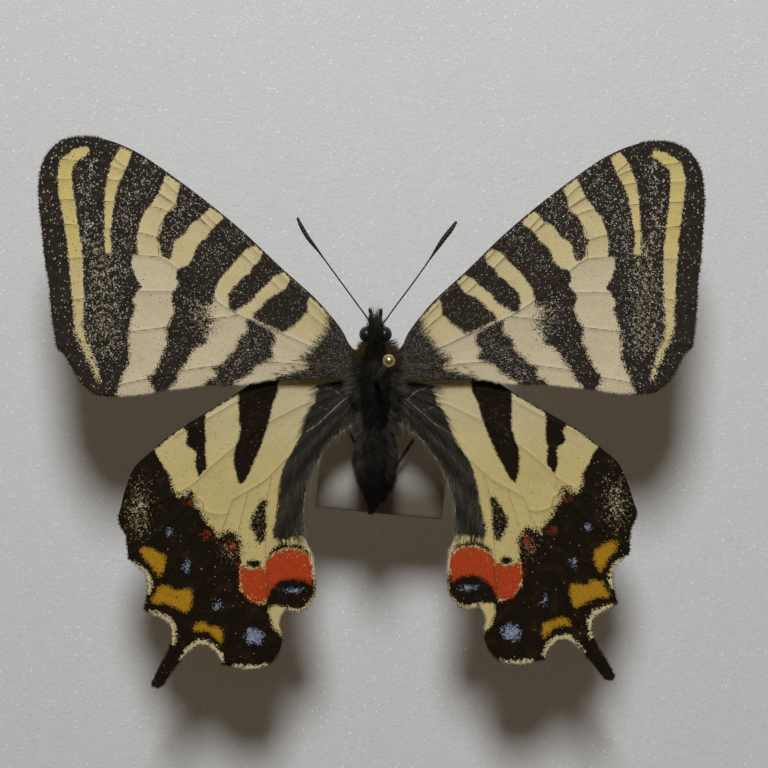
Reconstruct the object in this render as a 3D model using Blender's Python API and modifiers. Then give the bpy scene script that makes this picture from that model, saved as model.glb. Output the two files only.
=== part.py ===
"""A spread and pinned luehdorfia butterfly on a foam board, at life size.

All sizes below are in millimetres and become metres when a mesh is made. X runs to the
specimen's right wing, Y runs forward to its head and Z runs up. The origin is the middle
of the board's underside. The specimen's own middle stands at SPECIMEN_X, SPECIMEN_Y.
"""
import math

import bmesh
import bpy
import numpy as np
from mathutils import Matrix, Vector, geometry

MM = 0.001
GAP = 0.3

# The foam board and where the specimen's middle stands on it.
BOARD_SIDE = 84.0
BOARD_DEPTH = 10.0
BOARD_EDGE_ROUND = 0.5
SPECIMEN_X = -0.765
SPECIMEN_Y = 0.54

# The pin leans a little forward and to the right.
PIN_TIP_Z = 3.0
PIN_HEAD_Z = 40.0
PIN_ENTRY = (0.05, -0.15, 29.0)
PIN_LEAN = (0.103, 0.145)
PIN_RADIUS = 0.25
PIN_HEAD_RADIUS = 0.55
PIN_POINT_LENGTH = 2.0
PIN_HOLE_RADIUS = PIN_RADIUS + GAP
PIN_SIDES = 16

# The small paper label on the pin, between the board and the specimen.
LABEL_WIDTH = 11.8
LABEL_HEIGHT = 12.7
LABEL_DEPTH = 0.45
LABEL_MIDDLE = (0.9, -6.2, 20.7)
LABEL_TURN = math.radians(-5.85)

# The body: stations are (y, half width, half height, middle x, middle z).
THORAX_FRONT = 2.35
THORAX_REAR = -3.95
THORAX_MIDDLE_Z = 26.5
THORAX_HALF_WIDTH = 1.75
THORAX = (
    (THORAX_REAR, 1.35, 1.65, 0.0, 26.3),
    (-2.8, 1.62, 2.1, 0.0, 26.35),
    (-1.2, THORAX_HALF_WIDTH, 2.35, 0.0, 26.45),
    (0.3, THORAX_HALF_WIDTH, 2.3, 0.0, THORAX_MIDDLE_Z),
    (1.4, 1.58, 1.95, 0.0, THORAX_MIDDLE_Z),
    (THORAX_FRONT, 1.0, 1.25, 0.0, 26.45),
)
ABDOMEN = (
    (-12.6, 0.22, 0.25, -0.5, 24.75),
    (-12.1, 0.52, 0.6, -0.44, 24.85),
    (-11.0, 0.98, 1.0, -0.12, 25.1),
    (-9.6, 1.35, 1.3, 0.08, 25.45),
    (-8.0, 1.82, 1.6, 0.0, 25.75),
    (-6.4, 2.0, 1.7, -0.05, 26.0),
    (-5.0, 1.7, 1.65, 0.0, 26.2),
    (THORAX_REAR - GAP, 1.4, 1.6, 0.0, 26.3),
)
HEAD_REAR = THORAX_FRONT + GAP
HEAD_MIDDLE_Z = 26.5
HEAD_HALF_WIDTH = 0.5
HEAD = (
    (HEAD_REAR, 0.62, 0.85, 0.0, HEAD_MIDDLE_Z),
    (3.3, HEAD_HALF_WIDTH, 0.98, 0.0, HEAD_MIDDLE_Z),
    (4.4, HEAD_HALF_WIDTH, 0.95, 0.0, HEAD_MIDDLE_Z),
    (5.0, 0.6, 0.75, 0.0, HEAD_MIDDLE_Z),
    (5.6, 0.42, 0.45, 0.0, HEAD_MIDDLE_Z),
    (6.05, 0.16, 0.16, 0.0, HEAD_MIDDLE_Z),
)
EYE_Y = 3.9
EYE_RADII = (0.68, 0.7, 0.8)
EYE_FLAT_X = HEAD_HALF_WIDTH + GAP

# The wings. Wing points are (out, fore): out from the body's middle, fore to the head.
WING_THICK = 0.5
WING_ROOT_X = THORAX_HALF_WIDTH + GAP
FOREWING_Z = 27.6
HINDWING_Z = 26.55
WING_RISE = math.radians(1.6)
WING_BOW = 0.28
WING_BOW_LINE = 6.0
WING_BOW_REACH = 14.0
WING_BOW_START = 8.0
VEIN_HEIGHT = 0.2
VEIN_FOOT = 0.45
OUTLINE_STEP = 0.8
VEIN_STEP = 1.7
FILL_STEP = 2.4
RIM_CLEAR = 0.45
FOOT_CLEAR = 0.85

# Each run is one smooth curve; runs meet at the wing's corners.
FOREWING_RUNS = (
    ((WING_ROOT_X, 2.6), (2.95, 4.2), (4.0, 5.6), (5.6, 7.35), (8.55, 10.0), (12.0, 13.25),
     (15.4, 16.05), (18.5, 18.35), (21.0, 20.05), (23.0, 21.03), (26.0, 21.75), (28.4, 21.2),
     (29.85, 19.5), (30.28, 17.0), (30.22, 15.0), (29.9, 12.5), (29.3, 8.6), (28.9, 4.6),
     (28.55, 2.6)),
    ((28.55, 2.6), (27.3, 1.05), (26.6, -0.2), (25.1, -1.5), (23.6, -1.65), (20.8, -1.45),
     (17.0, -0.92), (13.0, -0.66), (9.5, -0.17), (5.5, -0.15), (WING_ROOT_X, -0.05)),
)
FOREWING_VEINS = (
    ((3.0, 3.6), (6.0, 6.9), (9.5, 10.0), (12.4, 13.0)),
    ((2.6, 2.5), (6.0, 5.8), (8.9, 8.3), (11.6, 10.7), (15.0, 13.6), (18.0, 15.6)),
    ((11.6, 10.7), (14.5, 13.9), (17.5, 17.0)),
    ((15.0, 13.6), (18.2, 16.9), (21.2, 19.5)),
    ((18.0, 15.6), (21.2, 17.9), (25.2, 21.0)),
    ((21.2, 17.9), (24.2, 19.2), (27.2, 19.55), (29.2, 19.65)),
    ((18.0, 15.6), (21.0, 17.2), (24.0, 17.8), (27.0, 17.85), (29.7, 17.9)),
    ((18.6, 14.9), (20.0, 15.4), (23.5, 15.8), (27.2, 16.0), (29.7, 16.1)),
    ((19.55, 12.6), (21.5, 13.1), (24.0, 13.45), (26.7, 13.7), (29.5, 13.9)),
    ((2.5, 1.7), (5.6, 2.55), (8.2, 3.7), (11.6, 5.25), (14.4, 7.0), (16.9, 9.0), (19.4, 10.85)),
    ((19.4, 10.85), (21.3, 11.0), (25.2, 10.8), (29.2, 10.6)),
    ((15.3, 7.75), (18.2, 7.75), (21.6, 7.72), (24.5, 7.4), (28.7, 6.65)),
    ((12.2, 5.6), (14.7, 5.3), (18.8, 4.55), (22.2, 4.1), (25.2, 3.5), (28.1, 2.9)),
    ((2.5, 0.8), (5.5, 1.1), (9.0, 1.4), (12.0, 1.3), (15.0, 1.0), (18.0, 0.52), (22.6, -0.55),
     (24.4, -1.2)),
    ((18.0, 15.6), (18.6, 14.9), (19.3, 13.8), (19.55, 12.6), (19.4, 10.85)),
)
HINDWING_RUNS = (
    ((WING_ROOT_X, -0.6), (4.0, 0.5), (7.0, 0.85), (10.0, 0.1), (13.2, -1.8), (15.7, -3.35),
     (18.6, -5.2), (20.4, -6.75), (21.8, -8.1), (22.6, -10.0), (23.25, -12.4)),
    ((23.25, -12.4), (22.6, -14.2), (22.35, -16.25)),
    ((22.35, -16.25), (20.95, -17.6), (20.65, -19.2), (20.95, -20.95)),
    ((20.95, -20.95), (19.2, -21.85), (18.55, -23.3), (19.0, -25.0), (20.1, -27.1),
     (20.15, -28.0), (19.4, -27.95), (18.5, -26.7), (17.0, -24.85), (15.7, -24.2),
     (14.6, -24.85), (13.95, -26.0)),
    ((13.95, -26.0), (12.0, -26.45), (9.9, -26.1), (8.7, -24.7), (8.45, -23.3)),
    ((8.45, -23.3), (8.78, -22.3), (8.2, -20.95)),
    ((8.2, -20.95), (7.1, -21.2), (5.75, -20.3), (5.45, -18.4), (5.7, -16.1), (6.45, -14.0),
     (6.5, -11.4), (6.1, -9.6), (5.2, -7.5), (4.0, -5.7), (3.0, -4.75), (WING_ROOT_X, -4.1)),
)
HINDWING_VEINS = (
    ((2.6, -0.75), (7.0, -0.5), (11.0, -1.4), (15.0, -3.7), (18.0, -5.4)),
    ((2.6, -1.4), (6.0, -2.4), (10.5, -4.6), (14.0, -7.3), (17.3, -10.1), (20.0, -11.3),
     (22.8, -12.2)),
    ((16.0, -9.2), (16.3, -10.6), (19.0, -13.4), (22.0, -15.9)),
    ((16.3, -10.6), (15.6, -11.9), (17.9, -16.2), (20.6, -20.5)),
    ((12.9, -11.0), (13.9, -13.8), (15.7, -18.5), (17.6, -23.3), (19.6, -27.3)),
    ((2.6, -2.2), (5.2, -4.3), (8.0, -7.2), (9.8, -9.1), (12.9, -11.0)),
    ((15.6, -11.9), (14.6, -12.3), (13.3, -12.3)),
    ((11.5, -10.15), (12.4, -14.0), (13.0, -20.0), (13.3, -25.6)),
    ((9.4, -8.7), (9.9, -12.0), (9.9, -18.0), (9.7, -21.5), (9.1, -24.0)),
    ((2.6, -3.2), (4.6, -4.9), (6.2, -7.0), (7.2, -9.5), (7.6, -12.0), (7.4, -16.0), (6.9, -20.7)),
)
# How the right wings are set a little differently from the left ones: the new out and
# fore of a wing point are each a share of its out, a share of its fore and a shift.
SET_AS_LEFT = ((1.0, 0.0, 0.0), (0.0, 1.0, 0.0))
FOREWING_RIGHT_SET = ((0.9935, -0.040, 0.16), (0.011, 0.972, -0.10))
HINDWING_RIGHT_SET = ((0.981, -0.064, 0.0), (0.0225, 0.986, -0.18))

# Feelers: paths of (x, y, z), and the shaft's and the club's radius.
ANTENNA_RADIUS = 0.25
ANTENNA_CLUB_RADIUS = 0.32
ANTENNA_TIP_RADIUS = 0.14
ANTENNA_CLUB_SHARE = 0.24
ANTENNA_POINTS = 12
ANTENNAE = {
    "left": ((-0.42, 4.95, 27.5), (-0.62, 5.25, 28.0), (-2.75, 8.25, 28.5), (-5.05, 11.25, 29.0),
             (-6.95, 14.25, 29.4)),
    "right": ((0.42, 4.95, 27.5), (0.68, 5.1, 28.0), (2.95, 8.0, 28.5), (5.15, 11.0, 29.0),
              (7.15, 14.05, 29.4)),
}
PALP = ((0.43, 4.6, 25.1), (0.44, 5.1, 24.95), (0.46, 5.75, 25.2), (0.48, 6.2, 25.75))
PALP_RADII = (0.26, 0.14)
PALP_POINTS = 5
PROBOSCIS_MIDDLE = (0.0, 3.7, 24.28)
PROBOSCIS_RING = 0.56
PROBOSCIS_RADIUS = 0.25

# Legs, folded under the thorax: root, knee, ankle and toe for each, mirrored for the left.
LEG_ROOT_RADIUS = 0.32
LEG_TOE_RADIUS = 0.22
LEG_POINTS = 10
LEGS = {
    "fore_left": ((-1.15, 1.45, 24.35), (-1.95, 2.5, 23.5), (-1.6, 0.7, 22.6), (-1.45, -0.9, 22.1)),
    "fore_right": ((1.15, 1.45, 24.35), (1.95, 2.5, 23.5), (1.6, 0.7, 22.6), (1.35, -0.9, 22.1)),
    "mid_left": ((-1.3, -0.35, 24.02), (-2.75, 0.1, 23.5), (-2.65, -2.4, 22.6), (-2.3, -4.2, 22.2)),
    "mid_right": ((1.3, -0.35, 24.02), (2.75, 0.1, 23.5), (2.6, -2.4, 22.6), (2.1, -4.2, 22.2)),
    "hind_left": ((-1.2, -2.3, 23.98), (-2.7, -4.2, 23.5), (-1.4, -7.2, 22.6), (-0.9, -8.8, 22.2)),
    "hind_right": ((1.2, -2.3, 23.98), (4.3, -4.4, 23.5), (2.05, -7.8, 22.6), (1.3, -9.2, 22.2)),
}

BODY_SIDES = 20
BODY_RINGS_PER_SPAN = 2
BODY_SQUARENESS = 2.5

COLOURS = {
    "foam": ((0.66, 0.67, 0.68), 0.85, 0.0),
    "paper": ((0.8, 0.8, 0.78), 0.9, 0.0),
    "pin_steel": ((0.62, 0.62, 0.64), 0.3, 1.0),
    "forewing_scales": ((0.55, 0.5, 0.36), 0.8, 0.0),
    "hindwing_scales": ((0.55, 0.48, 0.3), 0.8, 0.0),
    "body_hair": ((0.04, 0.036, 0.03), 0.9, 0.0),
    "eye": ((0.02, 0.022, 0.02), 0.25, 0.0),
    "feeler": ((0.012, 0.011, 0.01), 0.6, 0.0),
    "leg": ((0.05, 0.04, 0.03), 0.7, 0.0),
}


def clear_scene():
    """Removes every object that the file opens with."""
    for thing in list(bpy.data.objects):
        bpy.data.objects.remove(thing, do_unlink=True)


def make_material(name):
    """A Principled material of one colour, roughness and metallic value."""
    colour, rough, metal = COLOURS[name]
    material = bpy.data.materials.get(name) or bpy.data.materials.new(name)
    material.use_nodes = True
    shader = material.node_tree.nodes["Principled BSDF"]
    shader.inputs["Base Color"].default_value = (*colour, 1.0)
    shader.inputs["Roughness"].default_value = rough
    shader.inputs["Metallic"].default_value = metal
    return material


def add_object(name, data, colour, parts, parent=None, place=(0.0, 0.0, 0.0)):
    """Puts a mesh or curve into the parts' collection with its material and its parent."""
    thing = bpy.data.objects.new(name, data)
    data.materials.append(make_material(colour))
    thing.location = Vector(place) * MM
    thing.parent = parent
    parts.objects.link(thing)
    return thing


def mesh_from_bmesh(name, bm):
    """Makes a mesh in metres from a bmesh in millimetres, normals out."""
    bmesh.ops.recalc_face_normals(bm, faces=bm.faces[:])
    bmesh.ops.scale(bm, vec=(MM, MM, MM), verts=bm.verts[:])
    mesh = bpy.data.meshes.new(name)
    bm.to_mesh(mesh)
    bm.free()
    mesh.shade_smooth()
    mesh.set_sharp_from_angle(angle=math.radians(40.0))
    return mesh


def smooth_path(points, per_span):
    """A Catmull-Rom curve through the points, with this many steps between two of them."""
    knots = np.array(points, dtype=float)
    ends = np.vstack([2.0 * knots[0] - knots[1], knots, 2.0 * knots[-1] - knots[-2]])
    t = np.linspace(0.0, 1.0, per_span, endpoint=False)[:, None]
    spans = []
    for i in range(1, len(ends) - 2):
        a, b, c, d = ends[i - 1], ends[i], ends[i + 1], ends[i + 2]
        spans.append(0.5 * (2.0 * b + (c - a) * t + (2.0 * a - 5.0 * b + 4.0 * c - d) * t ** 2
                            + (3.0 * b - a - 3.0 * c + d) * t ** 3))
    spans.append(knots[-1:])
    return np.vstack(spans)


def even_steps(path, count):
    """The path again with its points an even length apart."""
    lengths = np.r_[0.0, np.cumsum(np.linalg.norm(np.diff(path, axis=0), axis=1))]
    wanted = np.linspace(0.0, lengths[-1], count)
    return np.column_stack([np.interp(wanted, lengths, path[:, k]) for k in range(path.shape[1])])


def path_length(path):
    """The length of a path of points."""
    return float(np.linalg.norm(np.diff(path, axis=0), axis=1).sum())


def stepped_curve(points, step):
    """A smooth curve through the points, in even steps of about this length."""
    path = smooth_path(points, 10)
    return even_steps(path, max(3, round(path_length(path) / step) + 1))


def distance_to_paths(points, paths):
    """Each point's distance to the nearest of the paths."""
    best = np.full(len(points), np.inf)
    for path in paths:
        start = path[:-1][None, :, :]
        along = np.diff(path, axis=0)[None, :, :]
        share = ((points[:, None, :] - start) * along).sum(2) / (along ** 2).sum(2)
        near = start + np.clip(share, 0.0, 1.0)[:, :, None] * along
        best = np.minimum(best, np.linalg.norm(points[:, None, :] - near, axis=2).min(1))
    return best


def is_inside(points, loop):
    """Whether each point lies inside the closed loop, by counting crossings."""
    x, y = points[:, 0][:, None], points[:, 1][:, None]
    ax, ay = loop[:, 0][None, :], loop[:, 1][None, :]
    bx, by = np.roll(loop[:, 0], -1)[None, :], np.roll(loop[:, 1], -1)[None, :]
    crosses = (ay > y) != (by > y)
    rise = np.where(by == ay, 1.0, by - ay)
    return (crosses & (x < ax + (y - ay) / rise * (bx - ax))).sum(1) % 2 == 1


def wing_sheet(runs, veins):
    """Triangles that fill a wing's outline, with points along its veins and at their feet.

    Returns the points, the triangles and each point's vein height share, from 0 to 1.
    """
    rim = np.vstack([stepped_curve(run, OUTLINE_STEP)[:-1] for run in runs + (runs_root(runs),)])
    closed = np.vstack([rim, rim[:1]])
    crests = [stepped_curve(vein, VEIN_STEP) for vein in veins]
    edges = []
    count = len(rim)
    for crest in crests:
        edges += [(count + i, count + i + 1) for i in range(len(crest) - 1)]
        count += len(crest)
    fill = fill_points(rim)
    fill = fill[distance_to_paths(fill, crests) > VEIN_FOOT * 2.0]
    fill = np.vstack([foot_points(crests), fill])
    fill = fill[is_inside(fill, rim) & (distance_to_paths(fill, [closed]) > RIM_CLEAR)]
    points = np.vstack([rim, *crests, fill])
    flat, _, faces, _, _, _ = geometry.delaunay_2d_cdt(
        [Vector(p) for p in points], edges, [list(range(len(rim)))], 1, 1e-4)
    flat = np.array([tuple(p) for p in flat])
    share = np.clip(1.0 - distance_to_paths(flat, crests) / VEIN_FOOT, 0.0, 1.0)
    share *= np.clip(distance_to_paths(flat, [closed]) / RIM_CLEAR, 0.0, 1.0)
    return flat, faces, share


def fill_points(rim):
    """A loose triangular grid of points over a wing."""
    low, high = rim.min(0), rim.max(0)
    grid = np.stack(np.meshgrid(np.arange(low[0], high[0], FILL_STEP),
                                np.arange(low[1], high[1], FILL_STEP)), axis=-1)
    grid[1::2, :, 0] += FILL_STEP / 2.0
    return grid.reshape(-1, 2)


def foot_points(crests):
    """Points along both feet of each vein, thinned where veins meet."""
    feet = []
    for crest in crests:
        along = np.gradient(crest, axis=0)
        across = np.column_stack([-along[:, 1], along[:, 0]])
        across /= np.linalg.norm(across, axis=1)[:, None]
        feet += [crest + VEIN_FOOT * across, crest - VEIN_FOOT * across]
    feet = np.vstack(feet)
    feet = feet[distance_to_paths(feet, crests) > VEIN_FOOT * FOOT_CLEAR]
    kept = []
    for foot in feet:
        if all(np.linalg.norm(foot - other) > VEIN_FOOT * FOOT_CLEAR for other in kept):
            kept.append(foot)
    return np.array(kept)


def runs_root(runs):
    """The short run that closes an outline along the wing's root."""
    last, first = runs[-1][-1], runs[0][0]
    middle = ((last[0] + first[0]) / 2.0, (last[1] + first[1]) / 2.0)
    return (last, middle, first)


def wing_bow(flat):
    """How far the membrane bows down away from its highest line, at each wing point."""
    near = np.clip(flat[:, 0] / WING_BOW_START, 0.0, 1.0)
    return -WING_BOW * near * ((flat[:, 1] - WING_BOW_LINE) / WING_BOW_REACH) ** 2


def make_wing(name, side, height, runs, veins, setting, colour, parts, parent):
    """One wing: a bowed membrane of even thickness with its veins raised on top."""
    flat, faces, share = wing_sheet(runs, veins)
    bow = wing_bow(flat)
    (out_out, out_fore, out_shift), (fore_out, fore_fore, fore_shift) = setting
    moved = np.column_stack([out_out * flat[:, 0] + out_fore * flat[:, 1] + out_shift,
                             fore_out * flat[:, 0] + fore_fore * flat[:, 1] + fore_shift])
    moved[:, 0] = np.maximum(moved[:, 0], WING_ROOT_X)
    moved[:, 0] -= WING_ROOT_X
    bm = bmesh.new()
    low = [bm.verts.new((side * p[0], p[1], z - WING_THICK / 2.0)) for p, z in zip(moved, bow)]
    for face in faces:
        bm.faces.new([low[i] for i in face])
    bm.verts.index_update()
    raised = bmesh.ops.extrude_face_region(bm, geom=bm.faces[:])
    place = {(round(v.co.x, 5), round(v.co.y, 5)): v.index for v in low}
    for v in raised["geom"]:
        if isinstance(v, bmesh.types.BMVert):
            i = place[(round(v.co.x, 5), round(v.co.y, 5))]
            v.co.z = bow[i] + WING_THICK / 2.0 + VEIN_HEIGHT * share[i]
    bmesh.ops.rotate(bm, verts=bm.verts[:], matrix=Matrix.Rotation(-side * WING_RISE, 3, "Y"))
    mesh = mesh_from_bmesh(name, bm)
    return add_object(name, mesh, colour, parts, parent, (side * WING_ROOT_X, 0.0, height))


def make_loft(name, stations, colour, parts, parent):
    """A body part whose rounded sections follow its stations from rear to front."""
    rows = smooth_path(stations, BODY_RINGS_PER_SPAN)
    turn = np.linspace(0.0, 2.0 * math.pi, BODY_SIDES, endpoint=False)
    power = 2.0 / BODY_SQUARENESS
    round_x = np.sign(np.cos(turn)) * np.abs(np.cos(turn)) ** power
    round_z = np.sign(np.sin(turn)) * np.abs(np.sin(turn)) ** power
    bm = bmesh.new()
    rings = []
    for y, half_width, half_height, middle_x, middle_z in rows:
        rings.append([bm.verts.new((middle_x + half_width * a, y, middle_z + half_height * b))
                      for a, b in zip(round_x, round_z)])
    for near, far in zip(rings, rings[1:]):
        for i in range(BODY_SIDES):
            j = (i + 1) % BODY_SIDES
            bm.faces.new((near[i], near[j], far[j], far[i]))
    bm.faces.new(rings[0])
    bm.faces.new(rings[-1])
    bmesh.ops.triangulate(bm, faces=bm.faces[:])
    return add_object(name, mesh_from_bmesh(name, bm), colour, parts, parent)


def make_tube(name, points, radii, count, colour, parts, parent):
    """A limb: a round tube along a smooth path, its radius read from radii along it."""
    path = even_steps(smooth_path(points, 8), count)
    curve = bpy.data.curves.new(name, "CURVE")
    curve.dimensions = "3D"
    curve.bevel_depth = MM
    curve.bevel_resolution = 1
    curve.use_fill_caps = True
    spline = curve.splines.new("POLY")
    spline.points.add(count - 1)
    shares = np.linspace(0.0, 1.0, count)
    for point, at, share in zip(spline.points, path, shares):
        point.co = (*(at * MM), 1.0)
        point.radius = float(np.interp(share, np.linspace(0.0, 1.0, len(radii)), radii))
    return add_object(name, curve, colour, parts, parent)


def make_eye(name, side, parts, parent):
    """A compound eye: a dome with a flat face turned to the head's side."""
    bm = bmesh.new()
    bmesh.ops.create_uvsphere(bm, u_segments=20, v_segments=12, radius=1.0)
    bmesh.ops.rotate(bm, verts=bm.verts[:], matrix=Matrix.Rotation(math.pi / 2.0, 3, "Y"))
    bmesh.ops.scale(bm, vec=EYE_RADII, verts=bm.verts[:])
    bmesh.ops.translate(bm, vec=(side * EYE_FLAT_X * 0.9, 0.0, 0.0), verts=bm.verts[:])
    cut = bmesh.ops.bisect_plane(bm, geom=bm.verts[:] + bm.edges[:] + bm.faces[:],
                                 plane_co=(side * EYE_FLAT_X, 0.0, 0.0), plane_no=(side, 0.0, 0.0),
                                 clear_inner=True)
    rim = [e for e in cut["geom_cut"] if isinstance(e, bmesh.types.BMEdge)]
    bmesh.ops.edgeloop_fill(bm, edges=rim)
    mesh = mesh_from_bmesh(name, bm)
    return add_object(name, mesh, "eye", parts, parent, (0.0, EYE_Y, HEAD_MIDDLE_Z))


def make_proboscis(parts, parent):
    """The coiled tongue, as one ring standing fore and aft below the head."""
    bpy.ops.mesh.primitive_torus_add(major_radius=PROBOSCIS_RING * MM,
                                     minor_radius=PROBOSCIS_RADIUS * MM,
                                     major_segments=20, minor_segments=8)
    ring = bpy.context.object
    ring.name = "proboscis"
    ring.data.materials.append(make_material("feeler"))
    for collection in list(ring.users_collection):
        collection.objects.unlink(ring)
    parts.objects.link(ring)
    ring.parent = parent
    ring.location = Vector(PROBOSCIS_MIDDLE) * MM
    ring.rotation_euler = (0.0, math.radians(90.0), 0.0)
    return ring


def pin_axis_point(z):
    """The point of the pin's axis at this height, in the specimen's own place."""
    rise = z - PIN_ENTRY[2]
    return Vector((PIN_ENTRY[0] + PIN_LEAN[0] * rise, PIN_ENTRY[1] + PIN_LEAN[1] * rise, z))


def pin_turn():
    """The turn that stands a +Z shape along the pin's axis."""
    lean = Vector((PIN_LEAN[0], PIN_LEAN[1], 1.0))
    return lean.to_track_quat("Z", "Y").to_euler()


def make_pin(parts, parent):
    """The pin: a turned profile with a ball head, a thin shaft and a sharp point."""
    length = (pin_axis_point(PIN_HEAD_Z) - pin_axis_point(PIN_TIP_Z)).length
    angles = np.linspace(0.0, math.pi - math.asin(PIN_RADIUS / PIN_HEAD_RADIUS), 8)
    profile = [(PIN_HEAD_RADIUS * math.sin(a), length + PIN_HEAD_RADIUS * math.cos(a))
               for a in angles]
    profile[0] = (0.0, profile[0][1])
    profile += [(PIN_RADIUS, PIN_POINT_LENGTH), (PIN_RADIUS * 0.3, 0.15), (0.0, 0.0)]
    mesh = bpy.data.meshes.new("pin")
    mesh.from_pydata([(x * MM, 0.0, z * MM) for x, z in profile],
                     [(i, i + 1) for i in range(len(profile) - 1)], [])
    pin = add_object("pin", mesh, "pin_steel", parts, parent, pin_axis_point(PIN_TIP_Z))
    pin.rotation_euler = pin_turn()
    turned = pin.modifiers.new("turned", "SCREW")
    turned.steps = PIN_SIDES
    turned.render_steps = PIN_SIDES
    turned.use_merge_vertices = True
    turned.merge_threshold = 0.00001
    turned.use_smooth_shade = True
    return pin


def make_pin_cutter(name, low_z, high_z, cutters, parent):
    """A round cutter along the pin's axis, for the hole that the pin stands in."""
    low, high = pin_axis_point(low_z), pin_axis_point(high_z)
    bm = bmesh.new()
    bmesh.ops.create_cone(bm, cap_ends=True, segments=PIN_SIDES, radius1=PIN_HOLE_RADIUS,
                          radius2=PIN_HOLE_RADIUS, depth=(high - low).length)
    cutter = bpy.data.objects.new(name, mesh_from_bmesh(name, bm))
    cutter.location = (low + high) / 2.0 * MM
    cutter.rotation_euler = pin_turn()
    cutter.parent = parent
    cutter.hide_render = True
    cutter.display_type = "WIRE"
    cutters.objects.link(cutter)
    return cutter


def cut_with(thing, cutter):
    """Cuts one object with a cutter, as a live modifier."""
    cut = thing.modifiers.new("pin_hole", "BOOLEAN")
    cut.operation = "DIFFERENCE"
    cut.object = cutter


def make_box(name, size, colour, parts, parent, place):
    """A plain box of this size about its place."""
    bm = bmesh.new()
    bmesh.ops.create_cube(bm, size=1.0)
    bmesh.ops.scale(bm, vec=size, verts=bm.verts[:])
    return add_object(name, mesh_from_bmesh(name, bm), colour, parts, parent, place)


def make_mount(parts, cutters, specimen):
    """The foam board, the paper label and the pin."""
    board = make_box("board", (BOARD_SIDE, BOARD_SIDE, BOARD_DEPTH), "foam", parts, None,
                     (0.0, 0.0, BOARD_DEPTH / 2.0))
    rounded = board.modifiers.new("rounded_edges", "BEVEL")
    rounded.width = BOARD_EDGE_ROUND * MM
    rounded.segments = 2
    cut_with(board, make_pin_cutter("board_hole", PIN_TIP_Z - 2.0 * GAP, BOARD_DEPTH + 2.0,
                                    cutters, specimen))
    label = make_box("label", (LABEL_WIDTH, LABEL_HEIGHT, LABEL_DEPTH), "paper", parts, specimen,
                     LABEL_MIDDLE)
    label.rotation_euler = (0.0, 0.0, LABEL_TURN)
    label_z = LABEL_MIDDLE[2]
    cut_with(label, make_pin_cutter("label_hole", label_z - 1.5, label_z + 1.5,
                                    cutters, specimen))
    make_pin(parts, specimen)


def make_body(parts, cutters, specimen):
    """Head, eyes, palps, tongue, thorax and abdomen."""
    make_loft("head", HEAD, "body_hair", parts, specimen)
    thorax = make_loft("thorax", THORAX, "body_hair", parts, specimen)
    cut_with(thorax, make_pin_cutter("thorax_hole", 20.0, 32.0, cutters, specimen))
    make_loft("abdomen", ABDOMEN, "body_hair", parts, specimen)
    for side, word in ((-1, "left"), (1, "right")):
        make_eye(f"eye_{word}", side, parts, specimen)
        palp = [(side * x, y, z) for x, y, z in PALP]
        make_tube(f"palp_{word}", palp, PALP_RADII, PALP_POINTS, "body_hair", parts, specimen)
    make_proboscis(parts, specimen)


def make_limbs(parts, specimen):
    """The two clubbed feelers and the six folded legs."""
    club = 1.0 - ANTENNA_CLUB_SHARE
    shares = np.linspace(0.0, 1.0, 13)
    radii = np.interp(shares, (0.0, club, club + 0.14, 1.0),
                      (ANTENNA_RADIUS, ANTENNA_RADIUS, ANTENNA_CLUB_RADIUS, ANTENNA_TIP_RADIUS))
    for word, path in ANTENNAE.items():
        make_tube(f"antenna_{word}", path, radii, ANTENNA_POINTS, "feeler", parts, specimen)
    for word, path in LEGS.items():
        make_tube(f"leg_{word}", path, (LEG_ROOT_RADIUS, LEG_ROOT_RADIUS, LEG_TOE_RADIUS),
                  LEG_POINTS, "leg", parts, specimen)


def make_wings(parts, specimen):
    """The four wings: fore wings over hind wings."""
    for side, word, fore_set, hind_set in ((-1, "left", SET_AS_LEFT, SET_AS_LEFT),
                                           (1, "right", FOREWING_RIGHT_SET, HINDWING_RIGHT_SET)):
        make_wing(f"forewing_{word}", side, FOREWING_Z, FOREWING_RUNS, FOREWING_VEINS, fore_set,
                  "forewing_scales", parts, specimen)
        make_wing(f"hindwing_{word}", side, HINDWING_Z, HINDWING_RUNS, HINDWING_VEINS, hind_set,
                  "hindwing_scales", parts, specimen)


def main():
    """Builds the whole model."""
    clear_scene()
    parts = bpy.data.collections.new("pinned_luehdorfia")
    cutters = bpy.data.collections.new("cutters")
    bpy.context.scene.collection.children.link(parts)
    bpy.context.scene.collection.children.link(cutters)
    specimen = bpy.data.objects.new("specimen", None)
    specimen.location = (SPECIMEN_X * MM, SPECIMEN_Y * MM, 0.0)
    parts.objects.link(specimen)
    make_mount(parts, cutters, specimen)
    make_body(parts, cutters, specimen)
    make_limbs(parts, specimen)
    make_wings(parts, specimen)


main()
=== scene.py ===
"""Looks of a spread luehdorfia butterfly on a leaning pin over a small foam board.

Lengths in this file are millimetres in the specimen's own place: X out to its right wings,
Y forward to its head, Z up from the board's underside. ``to_frame`` turns them into the
frame's metres. A wing is drawn once in its own plane, as (out, fore) points: out from the
body's middle and fore towards the head. The left and right wings are both set from it.
"""
from __future__ import annotations

import logging
import math
from dataclasses import dataclass, field
from enum import Enum
from typing import Iterable, Sequence

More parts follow.
